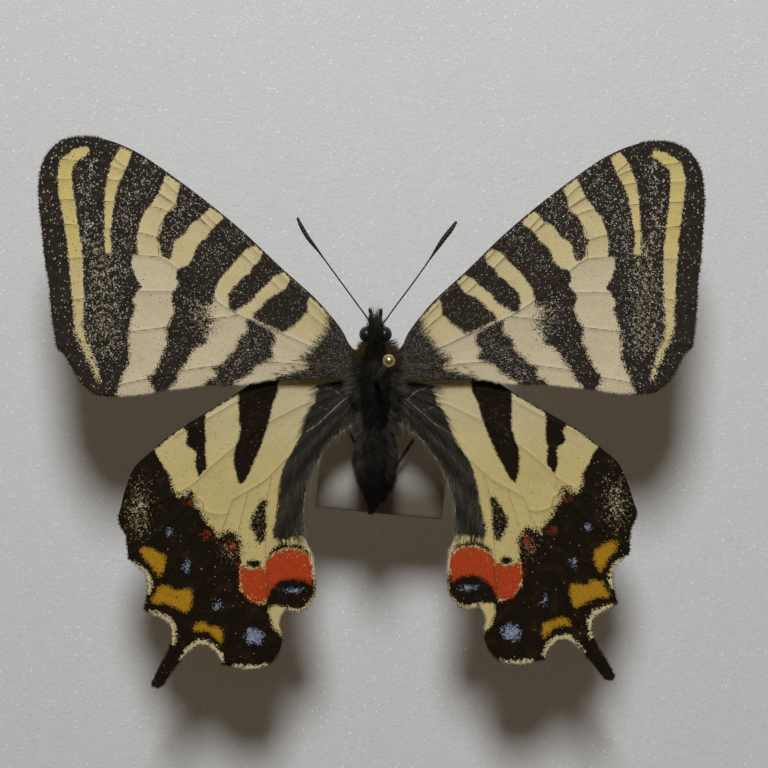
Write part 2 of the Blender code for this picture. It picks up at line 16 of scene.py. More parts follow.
import bpy
import numpy as np
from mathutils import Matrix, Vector


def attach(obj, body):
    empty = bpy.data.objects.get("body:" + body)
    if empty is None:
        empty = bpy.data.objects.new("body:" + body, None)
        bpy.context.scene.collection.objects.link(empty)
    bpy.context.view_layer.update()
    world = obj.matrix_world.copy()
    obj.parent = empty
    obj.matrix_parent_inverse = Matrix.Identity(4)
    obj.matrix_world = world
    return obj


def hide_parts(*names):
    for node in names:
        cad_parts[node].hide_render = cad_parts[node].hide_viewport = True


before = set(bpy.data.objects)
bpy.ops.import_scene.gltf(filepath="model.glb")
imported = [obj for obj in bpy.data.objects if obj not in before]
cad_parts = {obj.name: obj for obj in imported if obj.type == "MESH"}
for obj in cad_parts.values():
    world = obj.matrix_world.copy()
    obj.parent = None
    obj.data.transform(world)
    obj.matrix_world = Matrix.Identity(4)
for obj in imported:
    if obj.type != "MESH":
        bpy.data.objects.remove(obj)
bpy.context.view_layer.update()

LOG = logging.getLogger("luehdorfia")
Array = np.ndarray
Points = Sequence[tuple[float, ...]]
Span = tuple[float, float]
Triple = tuple[float, float, float]
Colour = Triple
Material = bpy.types.Material

MM = 0.001
SPECIMEN_SHIFT = np.array([-0.765, 0.54, 0.0])

# Heights and places that the solids share with the looks.
BOARD_TOP = 10.0
BOARD_SIDE = 84.0
FOREWING_Z = 27.6
HINDWING_Z = 26.55
WING_ROOT_X = 2.05
WING_RISE = math.radians(1.6)
WING_BOW = 0.28
WING_BOW_LINE = 6.0
WING_BOW_REACH = 14.0
WING_BOW_START = 8.0
WING_LEAST_OUT = 1.1
PIN_ENTRY = np.array([0.05, -0.15, 29.0])
PIN_LEAN = np.array([0.103, 0.145, 1.0])

# A knot's steps before a curve is made even, the points worked out at once, and the
# size of a mark's value far inside it or far outside.
KNOT_STEPS = 16
BATCH = 3000
FAR = 1.5


# Curves and fields


def evenly(path: Array, step: float = 1.0, count: int = 0) -> Array:
    """Points at even distances along a path of straight pieces.

    Args:
        path: The path's corners.
        step: About the distance between two points; there are at least four points.
        count: How many points there are, where the step doesn't say it.

    Returns:
        The points, from the path's start to its end.
    """
    lengths = np.r_[0.0, np.cumsum(np.linalg.norm(np.diff(path, axis=0), axis=1))]
    count = count or max(4, int(round(lengths[-1] / step)) + 1)
    wanted = np.linspace(0.0, lengths[-1], count)
    return np.column_stack([np.interp(wanted, lengths, axis) for axis in path.T])


def smooth_curve(points: Points, step: float, closed: bool = False) -> Array:
    """A smooth curve through the points, in even steps.

    Between knots b and c, with a before and d after them, the curve is half of
    2b + (c - a)t + (2a - 5b + 4c - d)t^2 + (3b - a - 3c + d)t^3 for t from 0 to 1.

    Args:
        points: The knots, in two or three dimensions.
        step: The length of one step.
        closed: Whether the curve returns to its first knot.

    Returns:
        The curve's points; a closed curve leaves out the repeated last one.
    """
    knots = np.asarray(points, float)
    if closed:
        ends = np.vstack([knots[-1], knots, knots[0], knots[1]])
    else:
        ends = np.vstack([2 * knots[0] - knots[1], knots, 2 * knots[-1] - knots[-2]])
    a, b, c, d = (ends[i:len(ends) - 3 + i, None, :] for i in range(4))
    t = np.linspace(0.0, 1.0, KNOT_STEPS, endpoint=False)[None, :, None]
    curve = 0.5 * (2 * b + (c - a) * t + (2 * a - 5 * b + 4 * c - d) * t ** 2
                   + (3 * b - a - 3 * c + d) * t ** 3)
    curve = np.vstack([curve.reshape(-1, knots.shape[1]), knots[:1] if closed else knots[-1:]])
    even = evenly(curve, step)
    return even[:-1] if closed else even


def nearest(points: Array, path: Array, closed: bool = False) -> tuple[Array, Array]:
    """Each point's nearest place on a path of straight pieces.

    Args:
        points: The points, one a row.
        path: The path's corners.
        closed: Whether the path's last corner joins its first.

    Returns:
        The places, one a row, and the distances to them.
    """
    ends = np.roll(path, -1, axis=0) if closed else path[1:]
    starts = path if closed else path[:-1]
    along = ends - starts
    square = np.maximum((along ** 2).sum(1), 1e-12)
    places, best = np.empty(points.shape), np.empty(len(points))
    for low in range(0, len(points), BATCH):
        off = points[low:low + BATCH, None, :] - starts[None]
        share = np.clip((off * along).sum(2) / square, 0.0, 1.0)
        size = np.linalg.norm(off - share[..., None] * along, axis=2)
        row, pick = np.arange(len(off)), size.argmin(1)
        places[low:low + BATCH] = starts[pick] + share[row, pick, None] * along[pick]
        best[low:low + BATCH] = size[row, pick]
    return places, best


def path_distance(points: Array, path: Array, closed: bool = False) -> Array:
    """Each point's distance to a path of straight pieces."""
    return nearest(points, path, closed)[1]


def inside(points: Array, loop: Array) -> Array:
    """Whether each point lies in a closed loop, by counting crossings of a ray.

    Args:
        points: The points, one a row.
        loop: The loop's corners.

    Returns:
        One truth value a point.
    """
    result = np.empty(len(points), bool)
    ax, ay = loop.T
    bx, by = np.roll(loop, -1, axis=0).T
    slope = (bx - ax) / np.where(by == ay, 1.0, by - ay)
    for low in range(0, len(points), BATCH):
        x, y = points[low:low + BATCH].T[..., None]
        crosses = ((ay > y) != (by > y)) & (x < ax + (y - ay) * slope)
        result[low:low + BATCH] = crosses.sum(1) % 2 == 1
    return result


def depth_in(points: Array, loop: Array, reach: float = FAR) -> Array:
    """How deep each point lies in a closed loop; outside it the depth is negative.

    Args:
        points: The points, one a row.
        loop: The loop's corners.
        reach: The depth's largest size; farther points keep this value.

    Returns:
        One depth a point.
    """
    depth = np.full(len(points), -reach)
    low, high = loop.min(0) - reach, loop.max(0) + reach
    near = ((points > low) & (points < high)).all(1)
    if near.any():
        part = points[near]
        depth[near] = path_distance(part, loop, True) * np.where(inside(part, loop), 1.0, -1.0)
    return np.clip(depth, -reach, reach)


def deepest(points: Array, loops: Iterable[Array]) -> Array:
    """Each point's greatest depth in any of the closed loops."""
    return np.maximum.reduce([depth_in(points, loop) for loop in loops])


def rounded(shapes: Iterable[Points], step: float) -> list[Array]:
    """A closed smooth curve through the corners of each shape."""
    return [smooth_curve(shape, step, True) for shape in shapes]


def ribbon(points: Points) -> Array:
    """The outline of a ribbon from (x, y, half width) points along its middle.

    Args:
        points: The rows along the ribbon's middle.

    Returns:
        The outline's corners: the left side's, then the right side's back again.
    """
    rows = np.asarray(points, float)
    along = np.gradient(rows[:, :2], axis=0)
    across = np.column_stack([-along[:, 1], along[:, 0]])
    across /= np.linalg.norm(across, axis=1)[:, None]
    left = rows[:, :2] + across * rows[:, 2:]
    right = rows[:, :2] - across * rows[:, 2:]
    return np.vstack([left, right[::-1]])


def near_path(points: Array, path: Points, reach: float) -> Array:
    """How near each point is to a path: one on it, by a bell of this reach."""
    return np.exp(-(path_distance(points, np.asarray(path, float)) / reach) ** 2)


def oval(points: Array, middle: Sequence[float], radii: Sequence[float]) -> Array:
    """Each point's distance from an oval's middle, where the oval's rim is at one."""
    return np.linalg.norm((points - middle) / radii, axis=1)


def unit(vectors: Array) -> Array:
    """The vectors at length one."""
    return vectors / np.maximum(np.linalg.norm(vectors, axis=-1, keepdims=True), 1e-9)


def smooth_step(low: float, high: float, values: Array) -> Array:
    """Zero below low, one above high and smooth between, by 3t^2 - 2t^3."""
    t = np.clip((values - low) / (high - low), 0.0, 1.0)
    return t * t * (3.0 - 2.0 * t)


def to_frame(points: Array) -> Array:
    """Specimen millimetres to the frame's metres."""
    return (np.asarray(points, float) + SPECIMEN_SHIFT) * MM


# Meshes


@dataclass
class Shape:
    """Points, faces and values on them, ready to become a piece.

    Args:
        points: Specimen millimetres, one a row.
        faces: Arrays of corner numbers, one array for each count of corners.
        uvs: For each array of faces, its corners' places on the map, or nothing.
        values: Named floats or vectors, one a point.
    """

    points: Array
    faces: list[Array]
    uvs: list[Array]
    values: dict[str, Array] = field(default_factory=dict)

    def piece(self, name: str, material: Material, slot: str, *nodes: str) -> None:
        """Makes the shape a piece that rides on the part.

        Args:
            name: The piece's name.
            material: Its finish.
            slot: The record's material slot it stands for; not used.
            *nodes: The solids that it replaces.
        """
        mesh = bpy.data.meshes.new(name)
        counts = np.concatenate([np.full(len(f), f.shape[1]) for f in self.faces])
        corners = np.concatenate([f.ravel() for f in self.faces]).astype(np.int32)
        mesh.vertices.add(len(self.points))
        mesh.vertices.foreach_set("co", to_frame(self.points).astype(np.float32).ravel())
        mesh.loops.add(len(corners))
        mesh.loops.foreach_set("vertex_index", corners)
        mesh.polygons.add(len(counts))
        starts = np.concatenate([[0], np.cumsum(counts)[:-1]]).astype(np.int32)
        mesh.polygons.foreach_set("loop_start", starts)
        mesh.update(calc_edges=True)
        if self.uvs:
            chart = mesh.uv_layers.new(name="OFBake")
            flat = np.concatenate([uv.reshape(-1, 2) for uv in self.uvs]).astype(np.float32)
            chart.data.foreach_set("uv", flat.ravel())
        for key, value in self.values.items():
            kind = "FLOAT" if value.ndim == 1 else "FLOAT_VECTOR"
            layer = mesh.attributes.new(key, kind, "POINT")
            layer.data.foreach_set("value" if kind == "FLOAT" else "vector",
                                   value.astype(np.float32).ravel())
        mesh.polygons.foreach_set("use_smooth", np.ones(len(counts), bool))
        mesh.materials.append(material)
        mesh.update()
        thing = bpy.data.objects.new(name, mesh)
        bpy.context.scene.collection.objects.link(thing)
        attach(thing, "root")
        if nodes:
            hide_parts(*nodes)
        LOG.info("%s: %d points, %d faces", name, len(self.points), len(counts))


def together(shapes: Sequence[Shape]) -> Shape:
    """Several shapes as one.

    Args:
        shapes: Shapes with the same named values.

    Returns:
        The one shape.
    """
    starts = np.cumsum([0] + [len(shape.points) for shape in shapes])
    faces = [f + start for shape, start in zip(shapes, starts) for f in shape.faces]
    values = {name: np.concatenate([shape.values[name] for shape in shapes])
              for name in shapes[0].values}
    return Shape(np.vstack([shape.points for shape in shapes]), faces,
                 [uv for shape in shapes for uv in shape.uvs], values)


def grid_faces(rows: int, columns: int, around: bool) -> Array:
    """Four-cornered faces over a grid of points, row by row.

    Args:
        rows: The grid's rows.
        columns: The points in one row.
        around: Whether each row closes on itself.

    Returns:
        The faces, with normals to the left of a row's run when rows go up.
    """
    row = np.arange(rows - 1)[:, None] * columns
    column = np.arange(columns if around else columns - 1)[None, :]
    near = (row + column).ravel()
    far = (row + (column + 1) % columns).ravel()
    return np.column_stack([near, far, far + columns, near + columns])


def ring_shape(rings: Array, **values: Array) -> Shape:
    """A closed surface through rings of points, with a pole at each end.

    Args:
        rings: Points, as rows of rings that turn clockwise about the way the rows run.
        **values: Named floats, one a row.

    Returns:
        The shape.
    """
    rows, columns = rings.shape[:2]
    points = np.vstack([rings.reshape(-1, 3), rings[0].mean(0), rings[-1].mean(0)])
    side = grid_faces(rows, columns, True)
    i = np.arange(columns)
    j = (i + 1) % columns
    near_cap = np.column_stack([j, i, np.full(columns, rows * columns)])
    last = (rows - 1) * columns
    far_cap = np.column_stack([last + i, last + j, np.full(columns, rows * columns + 1)])
    kept = {name: np.r_[np.repeat(value, columns), value[0], value[-1]]
            for name, value in values.items()}
    return Shape(points, [side, near_cap, far_cap], [], kept)


def tube_rings(path: Array, radii: Array, sides: int, up: Points = (0.0, 0.0, 1.0),
               flat: float = 1.0) -> Array:
    """Rings of points around a path, for ``ring_shape``.

    A ring's points are path + radius (cos a across + flat sin a over), where across is
    square to the path and to up, and over is square to both.

    Args:
        path: The tube's middle line.
        radii: One radius a path point.
        sides: The points in a ring.
        up: A direction that the path never runs along.
        flat: The section's height over its width.

    Returns:
        The rings.
    """
    along = unit(np.gradient(path, axis=0))
    across = unit(np.cross(along, np.asarray(up, float)))
    over = np.cross(along, across)
    turn = np.linspace(0.0, 2.0 * math.pi, sides, endpoint=False)[None, :, None]
    ring = np.cos(turn) * across[:, None] + flat * np.sin(turn) * over[:, None]
    return path[:, None] + np.asarray(radii)[:, None, None] * ring


@dataclass
class Tufts:
    """Hairs as thin three-sided spikes that bend along their length.

    A hair's middle line is root + length (s (1 - bend s) head + bend s^2 lean), for s from
    0 to 1; its radius falls from the root to a point.
    """

    roots: Array
    heads: Array
    leans: Array
    lengths: Array
    charts: Array
    tone: Array
    warm: Array | float = 0.0
    cream: Array | float = 0.0
    radius: float = 0.022
    bend: float = 0.55

    STEPS = (0.0, 0.36, 0.7)
    WIDTHS = (1.0, 0.85, 0.5)
    POINTS = 10
    ASLANT = (0.31, 0.17, 0.93)
    PATCH = 0.0015

    def shape(self) -> Shape:
        """Works the hairs out, with a small patch of the map for each.

        Returns:
            All of them as one shape.
        """
        head, lean = unit(self.heads), unit(self.leans)
        side = unit(np.cross(head, self.ASLANT))
        over = np.cross(head, side)
        length = self.lengths[:, None]
        corners, patches = [], []
        turns = np.array([0.0, 2.0, 4.0]) * math.pi / 3.0
        for s, width in zip(self.STEPS + (1.0,), self.WIDTHS + (0.0,)):
            middle = self.roots + length * (s * (1.0 - self.bend * s) * head
                                            + self.bend * s * s * lean)
            if width == 0.0:
                corners.append(middle[:, None])
                patches.append(self.charts[:, None])
                continue
            circle = np.stack([np.cos(turns), np.sin(turns)], -1)
            round_it = (circle[None, :, :1] * side[:, None] + circle[None, :, 1:] * over[:, None])
            corners.append(middle[:, None] + self.radius * width * round_it)
            patches.append(self.charts[:, None] + self.PATCH * (1.0 - 0.8 * s) * circle)
        corners, patches = np.concatenate(corners, 1), np.concatenate(patches, 1)
        quads = np.vstack([[3 * r + i, 3 * r + (i + 1) % 3, 3 * r + 3 + (i + 1) % 3, 3 * r + 3 + i]
                           for r in range(2) for i in range(3)])
        tips = np.array([[6 + i, 6 + (i + 1) % 3, 9] for i in range(3)] + [[2, 1, 0]])
        count = len(self.roots)
        shift = (np.arange(count) * self.POINTS)[:, None, None]
        values = {name: np.repeat(np.broadcast_to(getattr(self, name), count), self.POINTS)
                  for name in ("tone", "warm", "cream")}
        return Shape(corners.reshape(-1, 3),
                     [(quads + shift).reshape(-1, 4), (tips + shift).reshape(-1, 3)],
                     [patches[:, quads].reshape(-1, 4, 2), patches[:, tips].reshape(-1, 3, 2)],
                     values)


# Finishes


class Op(Enum):
    """The sums that a finish's nodes can do."""

    ADD = "ADD"
    LESS = "SUBTRACT"
    TIMES = "MULTIPLY"
    OVER = "GREATER_THAN"
    LARGER = "MAXIMUM"


Value = "float | Colour | Term"


class Term:
    """A socket that is added, subtracted, multiplied and compared as a number is."""

    def __init__(self, recipe: Recipe, socket: bpy.types.NodeSocket) -> None:
        """Keeps the socket and the recipe that makes the next node."""
        self.recipe, self.socket = recipe, socket

    def other(self, output: str | int) -> Term:
        """Another output of the same node."""
        return Term(self.recipe, self.socket.node.outputs[output])

    def __add__(self, other: Value) -> Term:
        """The sum of both."""
        return self.recipe.sum(Op.ADD, self, other)

    def __sub__(self, other: Value) -> Term:
        """This less the other."""
        return self.recipe.sum(Op.LESS, self, other)

    def __rsub__(self, other: Value) -> Term:
        """The other less this."""
        return self.recipe.sum(Op.LESS, other, self)

    def __mul__(self, other: Value) -> Term:
        """The product of both."""
        return self.recipe.sum(Op.TIMES, self, other)

    def __gt__(self, other: Value) -> Term:
        """One where this is over the other, and zero elsewhere."""
        return self.recipe.sum(Op.OVER, self, other)


class Recipe:
    """A material's nodes, added one by one and joined as they are made."""

    def __init__(self, name: str) -> None:
        """Starts a material with one Principled surface.

        Args:
            name: The material's name.
        """
        self.material = bpy.data.materials.new(name)
        self.material.use_nodes = True
        self.tree = self.material.node_tree
        self.surface = self.tree.nodes["Principled BSDF"]
        place = self.tree.nodes.new("ShaderNodeTexCoord").outputs["Object"]
        self.object_place = Term(self, place)

    def put(self, socket: bpy.types.NodeSocket, value: Value) -> None:
        """Sets a socket to a number or joins it to another socket.

        Args:
            socket: The socket to fill.
            value: A number, a colour or a socket.
        """
        if isinstance(value, Term):
            self.tree.links.new(value.socket, socket)
        elif isinstance(value, tuple) and len(value) == 3 and socket.type == "RGBA":
            socket.default_value = (*value, 1.0)
        else:
            socket.default_value = value

    def node(self, kind: str, output: str | int, inputs: dict[str | int, Value],
             **settings: str) -> Term:
        """Adds one node and fills its inputs.

        Args:
            kind: The node's type, without the words that all shader nodes' types begin with.
            output: The output that is wanted.
            inputs: What goes into its inputs.
            **settings: The node's own choices.

        Returns:
            The output's socket.
        """
        node = self.tree.nodes.new("ShaderNode" + kind)
        for name, choice in settings.items():
            setattr(node, name, choice)
        for name, value in inputs.items():
            self.put(node.inputs[name], value)
        return Term(self, node.outputs[output])

    def sum(self, op: Op, a: Value, b: Value) -> Term:
        """One sum of two numbers or sockets."""
        return self.node("Math", 0, {0: a, 1: b}, operation=op.value)

    def ramp(self, value: Value, low: float, high: float) -> Term:
        """Zero at low, one at high and smooth between.

        Args:
            value: The number or socket to judge.
            low: Where the ramp is zero.
            high: Where it is one; it may be less than low.

        Returns:
            The result's socket.
        """
        return self.node("MapRange", "Result", {
            "Value": value, "From Min": min(low, high), "From Max": max(low, high),
            "To Min": float(low > high), "To Max": float(low < high)},
            interpolation_type="SMOOTHSTEP")

    def mix(self, share: Value, a: Value, b: Value) -> Term:
        """Colour a where share is zero and b where it is one."""
        return self.node("Mix", 2, {0: share, 6: a, 7: b}, data_type="RGBA")

    def shade(self, colour: Value, value: Value) -> Term:
        """A colour made lighter or darker, by multiplying it by a number."""
        return self.node("VectorMath", 0, {0: colour, "Scale": value}, operation="SCALE")

    def value(self, name: str, output: str = "Fac") -> Term:
        """A float, or by its output's name a vector, kept on the piece's points."""
        return self.node("Attribute", output, {}, attribute_name=name)

    def stretched(self, place: Value, scale: Colour, turn: float = 0.0) -> Term:
        """A place turned about Z, in radians, with each axis stretched."""
        return self.node("Mapping", "Vector", {"Vector": place, "Scale": scale,
                                               "Rotation": (0.0, 0.0, turn)})

    def noise(self, scale: float, place: Term | None = None, detail: float = 3.0,
              rough: float = 0.55) -> Term:
        """Cloudy noise about one half, at this many clouds a unit, with finer layers."""
        return self.node("TexNoise", "Fac", {"Scale": scale, "Detail": detail, "Roughness": rough,
                                             "Vector": place or self.object_place})

    def cells(self, scale: float, place: Term | None = None) -> tuple[Term, ...]:
        """Small cells: three random numbers for each cell, and the distance to its middle.

        Args:
            scale: The cells in a unit.
            place: Where they are read, or the object's place.

        Returns:
            The sockets of the three numbers and of the distance.
        """
        distance = self.node("TexVoronoi", "Distance", {
            "Scale": scale, "Vector": place or self.object_place})
        one = self.node("SeparateColor", 0, {0: distance.other("Color")})
        return one, one.other(1), one.other(2), distance

    def bump(self, height: Value, strength: float, depth: float) -> Term:
        """A normal bumped by a height; a height of one is this many millimetres deep."""
        return self.node("Bump", 0, {"Strength": strength, "Distance": depth * MM,
                                     "Height": height})

    def finish(self, colour: Value, rough: Value, normal: Term | None = None,
               specular: float = 0.5, metallic: float = 0.0) -> Material:
        """Joins the surface's colour, roughness and normal, and sets its plain numbers.

        Args:
            colour: The base colour.
            rough: The roughness.
            normal: A bumped normal, or none.
            specular: The level of the gloss.
            metallic: One for metal.

        Returns:
            The material.
        """
        self.put(self.surface.inputs["Base Color"], colour)
        self.put(self.surface.inputs["Roughness"], rough)
        if normal is not None:
            self.put(self.surface.inputs["Normal"], normal)
        self.surface.inputs["Specular IOR Level"].default_value = specular
        self.surface.inputs["Metallic"].default_value = metallic
        return self.material


@dataclass(frozen=True)
class WingScales:
    """Wing scales: each small cell is one scale, dark or pale by chance along an edge."""

    name: str
    pale: Colour
    pale_warm: Colour
    coloured: bool
    dark: Colour = (0.013, 0.0105, 0.0085)
    dark_brown: Colour = (0.035, 0.026, 0.017)
    fur: Colour = (0.012, 0.01, 0.008)
    fur_streak: Colour = (0.06, 0.055, 0.045)
    fur_vein: Colour = (0.09, 0.085, 0.07)
    red: Colour = (0.42, 0.04, 0.012)
    gold: Colour = (0.43, 0.22, 0.012)
    sky: Colour = (0.15, 0.22, 0.42)
    frost: Colour = (0.4, 0.42, 0.5)
    silver: Colour = (0.5, 0.46, 0.39)
    tan: Colour = (0.48, 0.43, 0.28)
    umber: Colour = (0.04, 0.024, 0.015)
    vein: Colour = (0.05, 0.036, 0.022)
    vein_share: float = 0.65
    scale_length: float = 0.085
    fleck_length: float = 0.15
    edge_wander: float = 0.22
    edge_chance: float = 0.34

    def build(self) -> Material:
        """A pale ground, dark marks, dust of the other tone, and colour spots.

        A scale is in a mark where the mark's depth plus a jitter is over zero. The jitter is
        a cloudy noise plus the scale's own random number, times "fuzz". Dust, flecks and soot
        are the scales whose random number is under the share given there.

        Returns:
            The material.
        """
        r = Recipe(self.name)
        flow = r.value("flow", "Vector")
        one, two, three, middle = r.cells(1.0 / self.scale_length, flow)
        wander, cloud = r.noise(1.6, flow, 2.0), r.noise(0.35, flow, 2.0)
        shift = (wander - 0.5) * (self.edge_wander * 2.0)
        jitter = (shift + (one - 0.5) * self.edge_chance) * r.value("fuzz")
        ground = r.mix(r.value("warm"), self.pale, self.pale_warm)
        ground = r.shade(ground, two * 0.22 + (cloud * 0.24 + 0.78))
        patchy = r.ramp(r.noise(0.8, flow, 3.0, 0.6), 0.5, 0.68)
        dark = r.mix(patchy * 0.75, r.mix(three, self.dark, self.dark_brown), self.umber)
        mark = r.ramp(r.value("mark") + jitter, -0.05, 0.05)
        mark = r.sum(Op.LARGER, mark, r.value("soot") > three)
        amount = r.value("dust")
        clump = r.ramp(r.noise(2.4, flow, 2.0), 0.3, 0.7)
        fleck_one, fleck_two, _, fleck_off = r.cells(1.0 / self.fleck_length, flow)
        fleck = (r.value("fleck") * (clump * 2.0) > fleck_one) * r.ramp(fleck_off, 0.5, 0.4)
        dust = r.sum(Op.LARGER, amount * (clump * 1.7) > two, fleck)
        tone = r.mix(r.ramp(amount, 0.18, 0.28), self.silver, self.tan)
        tone = r.shade(tone, fleck_two + 0.35)
        colour = r.mix(dust * mark * 0.85, r.mix(mark, ground, dark), tone)
        line = r.ramp(r.value("vein") + jitter * 0.08, 0.085, 0.03)
        colour = r.mix(line * (self.vein_share - mark * self.vein_share), colour, self.vein)
        streak = r.noise(1.0, r.stretched(flow, (0.5, 7.0, 1.0)), 3.0)
        fur = r.mix(r.ramp(streak, 0.5, 0.7), self.fur, self.fur_streak)
        broken = line * r.ramp(r.noise(2.0, flow, 2.0), 0.35, 0.6)
        fur = r.mix(broken, fur, self.fur_vein)
        colour = r.mix(r.ramp(r.value("fur") + jitter, -0.06, 0.06), colour, fur)
        if self.coloured:
            for key, paint in (("red", self.red), ("gold", self.gold)):
                deep = r.ramp(r.value(key) + jitter * 0.6, -0.2, 0.35)
                tint = r.shade(r.shade(paint, two * 0.35 + 0.8), deep * 0.6 + 0.4)
                spot = r.ramp(r.value(key) + jitter, -0.05, 0.05) * (three > 0.012)
                colour = r.mix(spot, colour, tint)
            few = r.ramp(r.value("sky") + shift * 1.5, -0.05, 0.7)
            spot = few > one * 0.9 + 0.05
            tint = r.shade(r.mix(two, self.sky, self.frost), three + 0.35)
            colour = r.mix(spot * 0.9, colour, tint)
        normal = r.bump(middle + one * 0.6, 0.5, 0.02)
        return r.finish(colour, two * 0.2 + 0.6, normal, specular=0.08)


@dataclass(frozen=True)
class Hair:
    """Fine hair: dark or pale by its tone, and tawny by its warmth."""

    name: str = "hair"
    dark: Colour = (0.003, 0.0025, 0.002)
    pale: Colour = (0.25, 0.23, 0.185)
    tawny: Colour = (0.12, 0.062, 0.018)
    cream: Colour = (0.68, 0.6, 0.42)

    def build(self) -> Material:
        """Mixes its colours by the hairs' tone, warmth and cream values.

        Returns:
            The material.
        """
        r = Recipe(self.name)
        colour = r.mix(r.value("tone"), self.dark, self.pale)
        colour = r.mix(r.value("warm"), colour, self.tawny)
        colour = r.mix(r.value("cream"), colour, self.cream)
        return r.finish(colour, 0.5, specular=0.2)


@dataclass(frozen=True)
class Cuticle:
    """Bare insect skin: near black, faintly uneven, with a dull gloss."""

    name: str
    colour: Colour = (0.008, 0.007, 0.0065)
    second: Colour = (0.02, 0.016, 0.012)
    rough: float = 0.38
    pits: float = 16.0
    specular: float = 0.4

    def build(self) -> Material:
        """Fine pits, and soft mottling in millimetre-size noise.

        Returns:
            The material.
        """
        r = Recipe(self.name)
        mottle = r.noise(1400.0)
        normal = r.bump(r.noise(self.pits / MM, detail=1.0), 0.5, 0.03)
        colour = r.mix(r.ramp(mottle, 0.35, 0.7), self.colour, self.second)
        return r.finish(colour, mottle * 0.25 + (self.rough - 0.1), normal,
                        specular=self.specular)


@dataclass(frozen=True)
class CompoundEye:
    """An eye of tiny facets, black and dark slate."""

    facet: float = 0.03

    def build(self) -> Material:
        """Facets that bulge by the cells' distance.

        Returns:
            The material.
        """
        r = Recipe("compound_eye")
        middle = r.cells(1.0 / (self.facet * MM))[3]
        colour = r.mix(r.noise(1500.0), (0.003, 0.003, 0.003), (0.014, 0.017, 0.019))
        normal = r.bump(1.0 - middle, 0.35, 0.01)
        return r.finish(colour, 0.34, normal, specular=0.35)


@dataclass(frozen=True)
class FoamSkin:
    """White closed-cell foam: soft fine cells, with white points painted in here and there as
    glints.
    """

    ground: Colour = (0.715, 0.713, 0.718)
    low: Colour = (0.645, 0.643, 0.65)
    # Painted glints: the white of the bright points, standing in for light caught by the foam's
    # cells.
    painted_glint: Colour = (1.0, 1.0, 1.0)
    cell: float = 0.3

    def build(self) -> Material:
        """Fine mottled cells, painted glints as white points that are also less rough, and a fine
        bump.

        Returns:
            The material.
        """
        r = Recipe("foam_skin")
        one, two, three, middle = r.cells(1.0 / (self.cell * MM))
        fine = r.noise(3600.0, detail=4.0, rough=0.7)
        broad = r.noise(60.0, detail=2.0)
        tone = r.ramp(fine, 0.3, 0.7) * 0.5 + one * 0.5
        colour = r.shade(r.mix(tone, self.low, self.ground), broad * 0.06 + 0.97)
        disc = r.ramp(middle - (three * 0.3 + 0.14), 0.06, -0.06)
        # Painted glints: these points take the white colour and a lower roughness.
        point = (two > 0.87) * disc
        colour = r.mix(point * (one * 0.7 + 0.3), colour, self.painted_glint)
        normal = r.bump(fine + middle * -0.6, 0.45, 0.06)
        return r.finish(colour, 0.5 - point * 0.3, normal, specular=0.35)


@dataclass(frozen=True)
class LabelPaper:
    """Small card label: off-white with faint fibres, darkened brown by painted shade towards its
    rear edge and rear right corner.
    """

    ground: Colour = (0.56, 0.55, 0.52)
    fibre: Colour = (0.42, 0.4, 0.36)
    # Painted shade: the brown that the label turns towards its rear edge and rear right corner.
    painted_shade: Colour = (0.13, 0.11, 0.082)

    def build(self) -> Material:
        """Fibres as thin stretched noise, under a brown painted shade.

        Returns:
            The material.
        """
        r = Recipe("label_paper")
        place = r.stretched(r.object_place, (1.0, 4.0, 1.0), 0.5)
        fibres = r.ramp(r.noise(1700.0, place, 4.0, 0.7), 0.5, 0.75)
        colour = r.mix(fibres * 0.6, self.ground, self.fibre)
        # Painted shade: the paper is darkened towards its rear, as by the shadow that falls there,
        # with some noise.
        painted_shade_share = r.value("painted_shade") + r.noise(350.0) * 0.3
        colour = r.mix(r.ramp(painted_shade_share, 0.2, 1.2), colour, self.painted_shade)
        return r.finish(colour, 0.85, r.bump(r.noise(5200.0), 0.4, 0.02))


@dataclass(frozen=True)
class PinMetal:
    """Polished pin steel, with brass where the piece's brass value is one."""

    steel: Colour = (0.3, 0.3, 0.305)
    brass: Colour = (0.52, 0.45, 0.2)

    def build(self) -> Material:
        """Steel and brass with uneven roughness.

        Returns:
            The material.
        """
        r = Recipe("pin_metal")
        colour = r.mix(r.value("brass"), self.steel, self.brass)
        return r.finish(colour, r.noise(4000.0) * 0.16 + 0.24, metallic=1.0)


# Wings


@dataclass(frozen=True)
class WingPose:
    """How one wing is set from its plan, as the rows of out' and fore' from (out, fore, 1)."""

    side: float
    out_row: Triple = (1.0, 0.0, 0.0)
    fore_row: Triple = (0.0, 1.0, 0.0)


class Rim(Enum):
    """What a run of a wing's outline is, by the gap between its fringe's scales, or none."""

    FRONT = 0.0
    FRINGED = 0.04
    INNER = 0.06


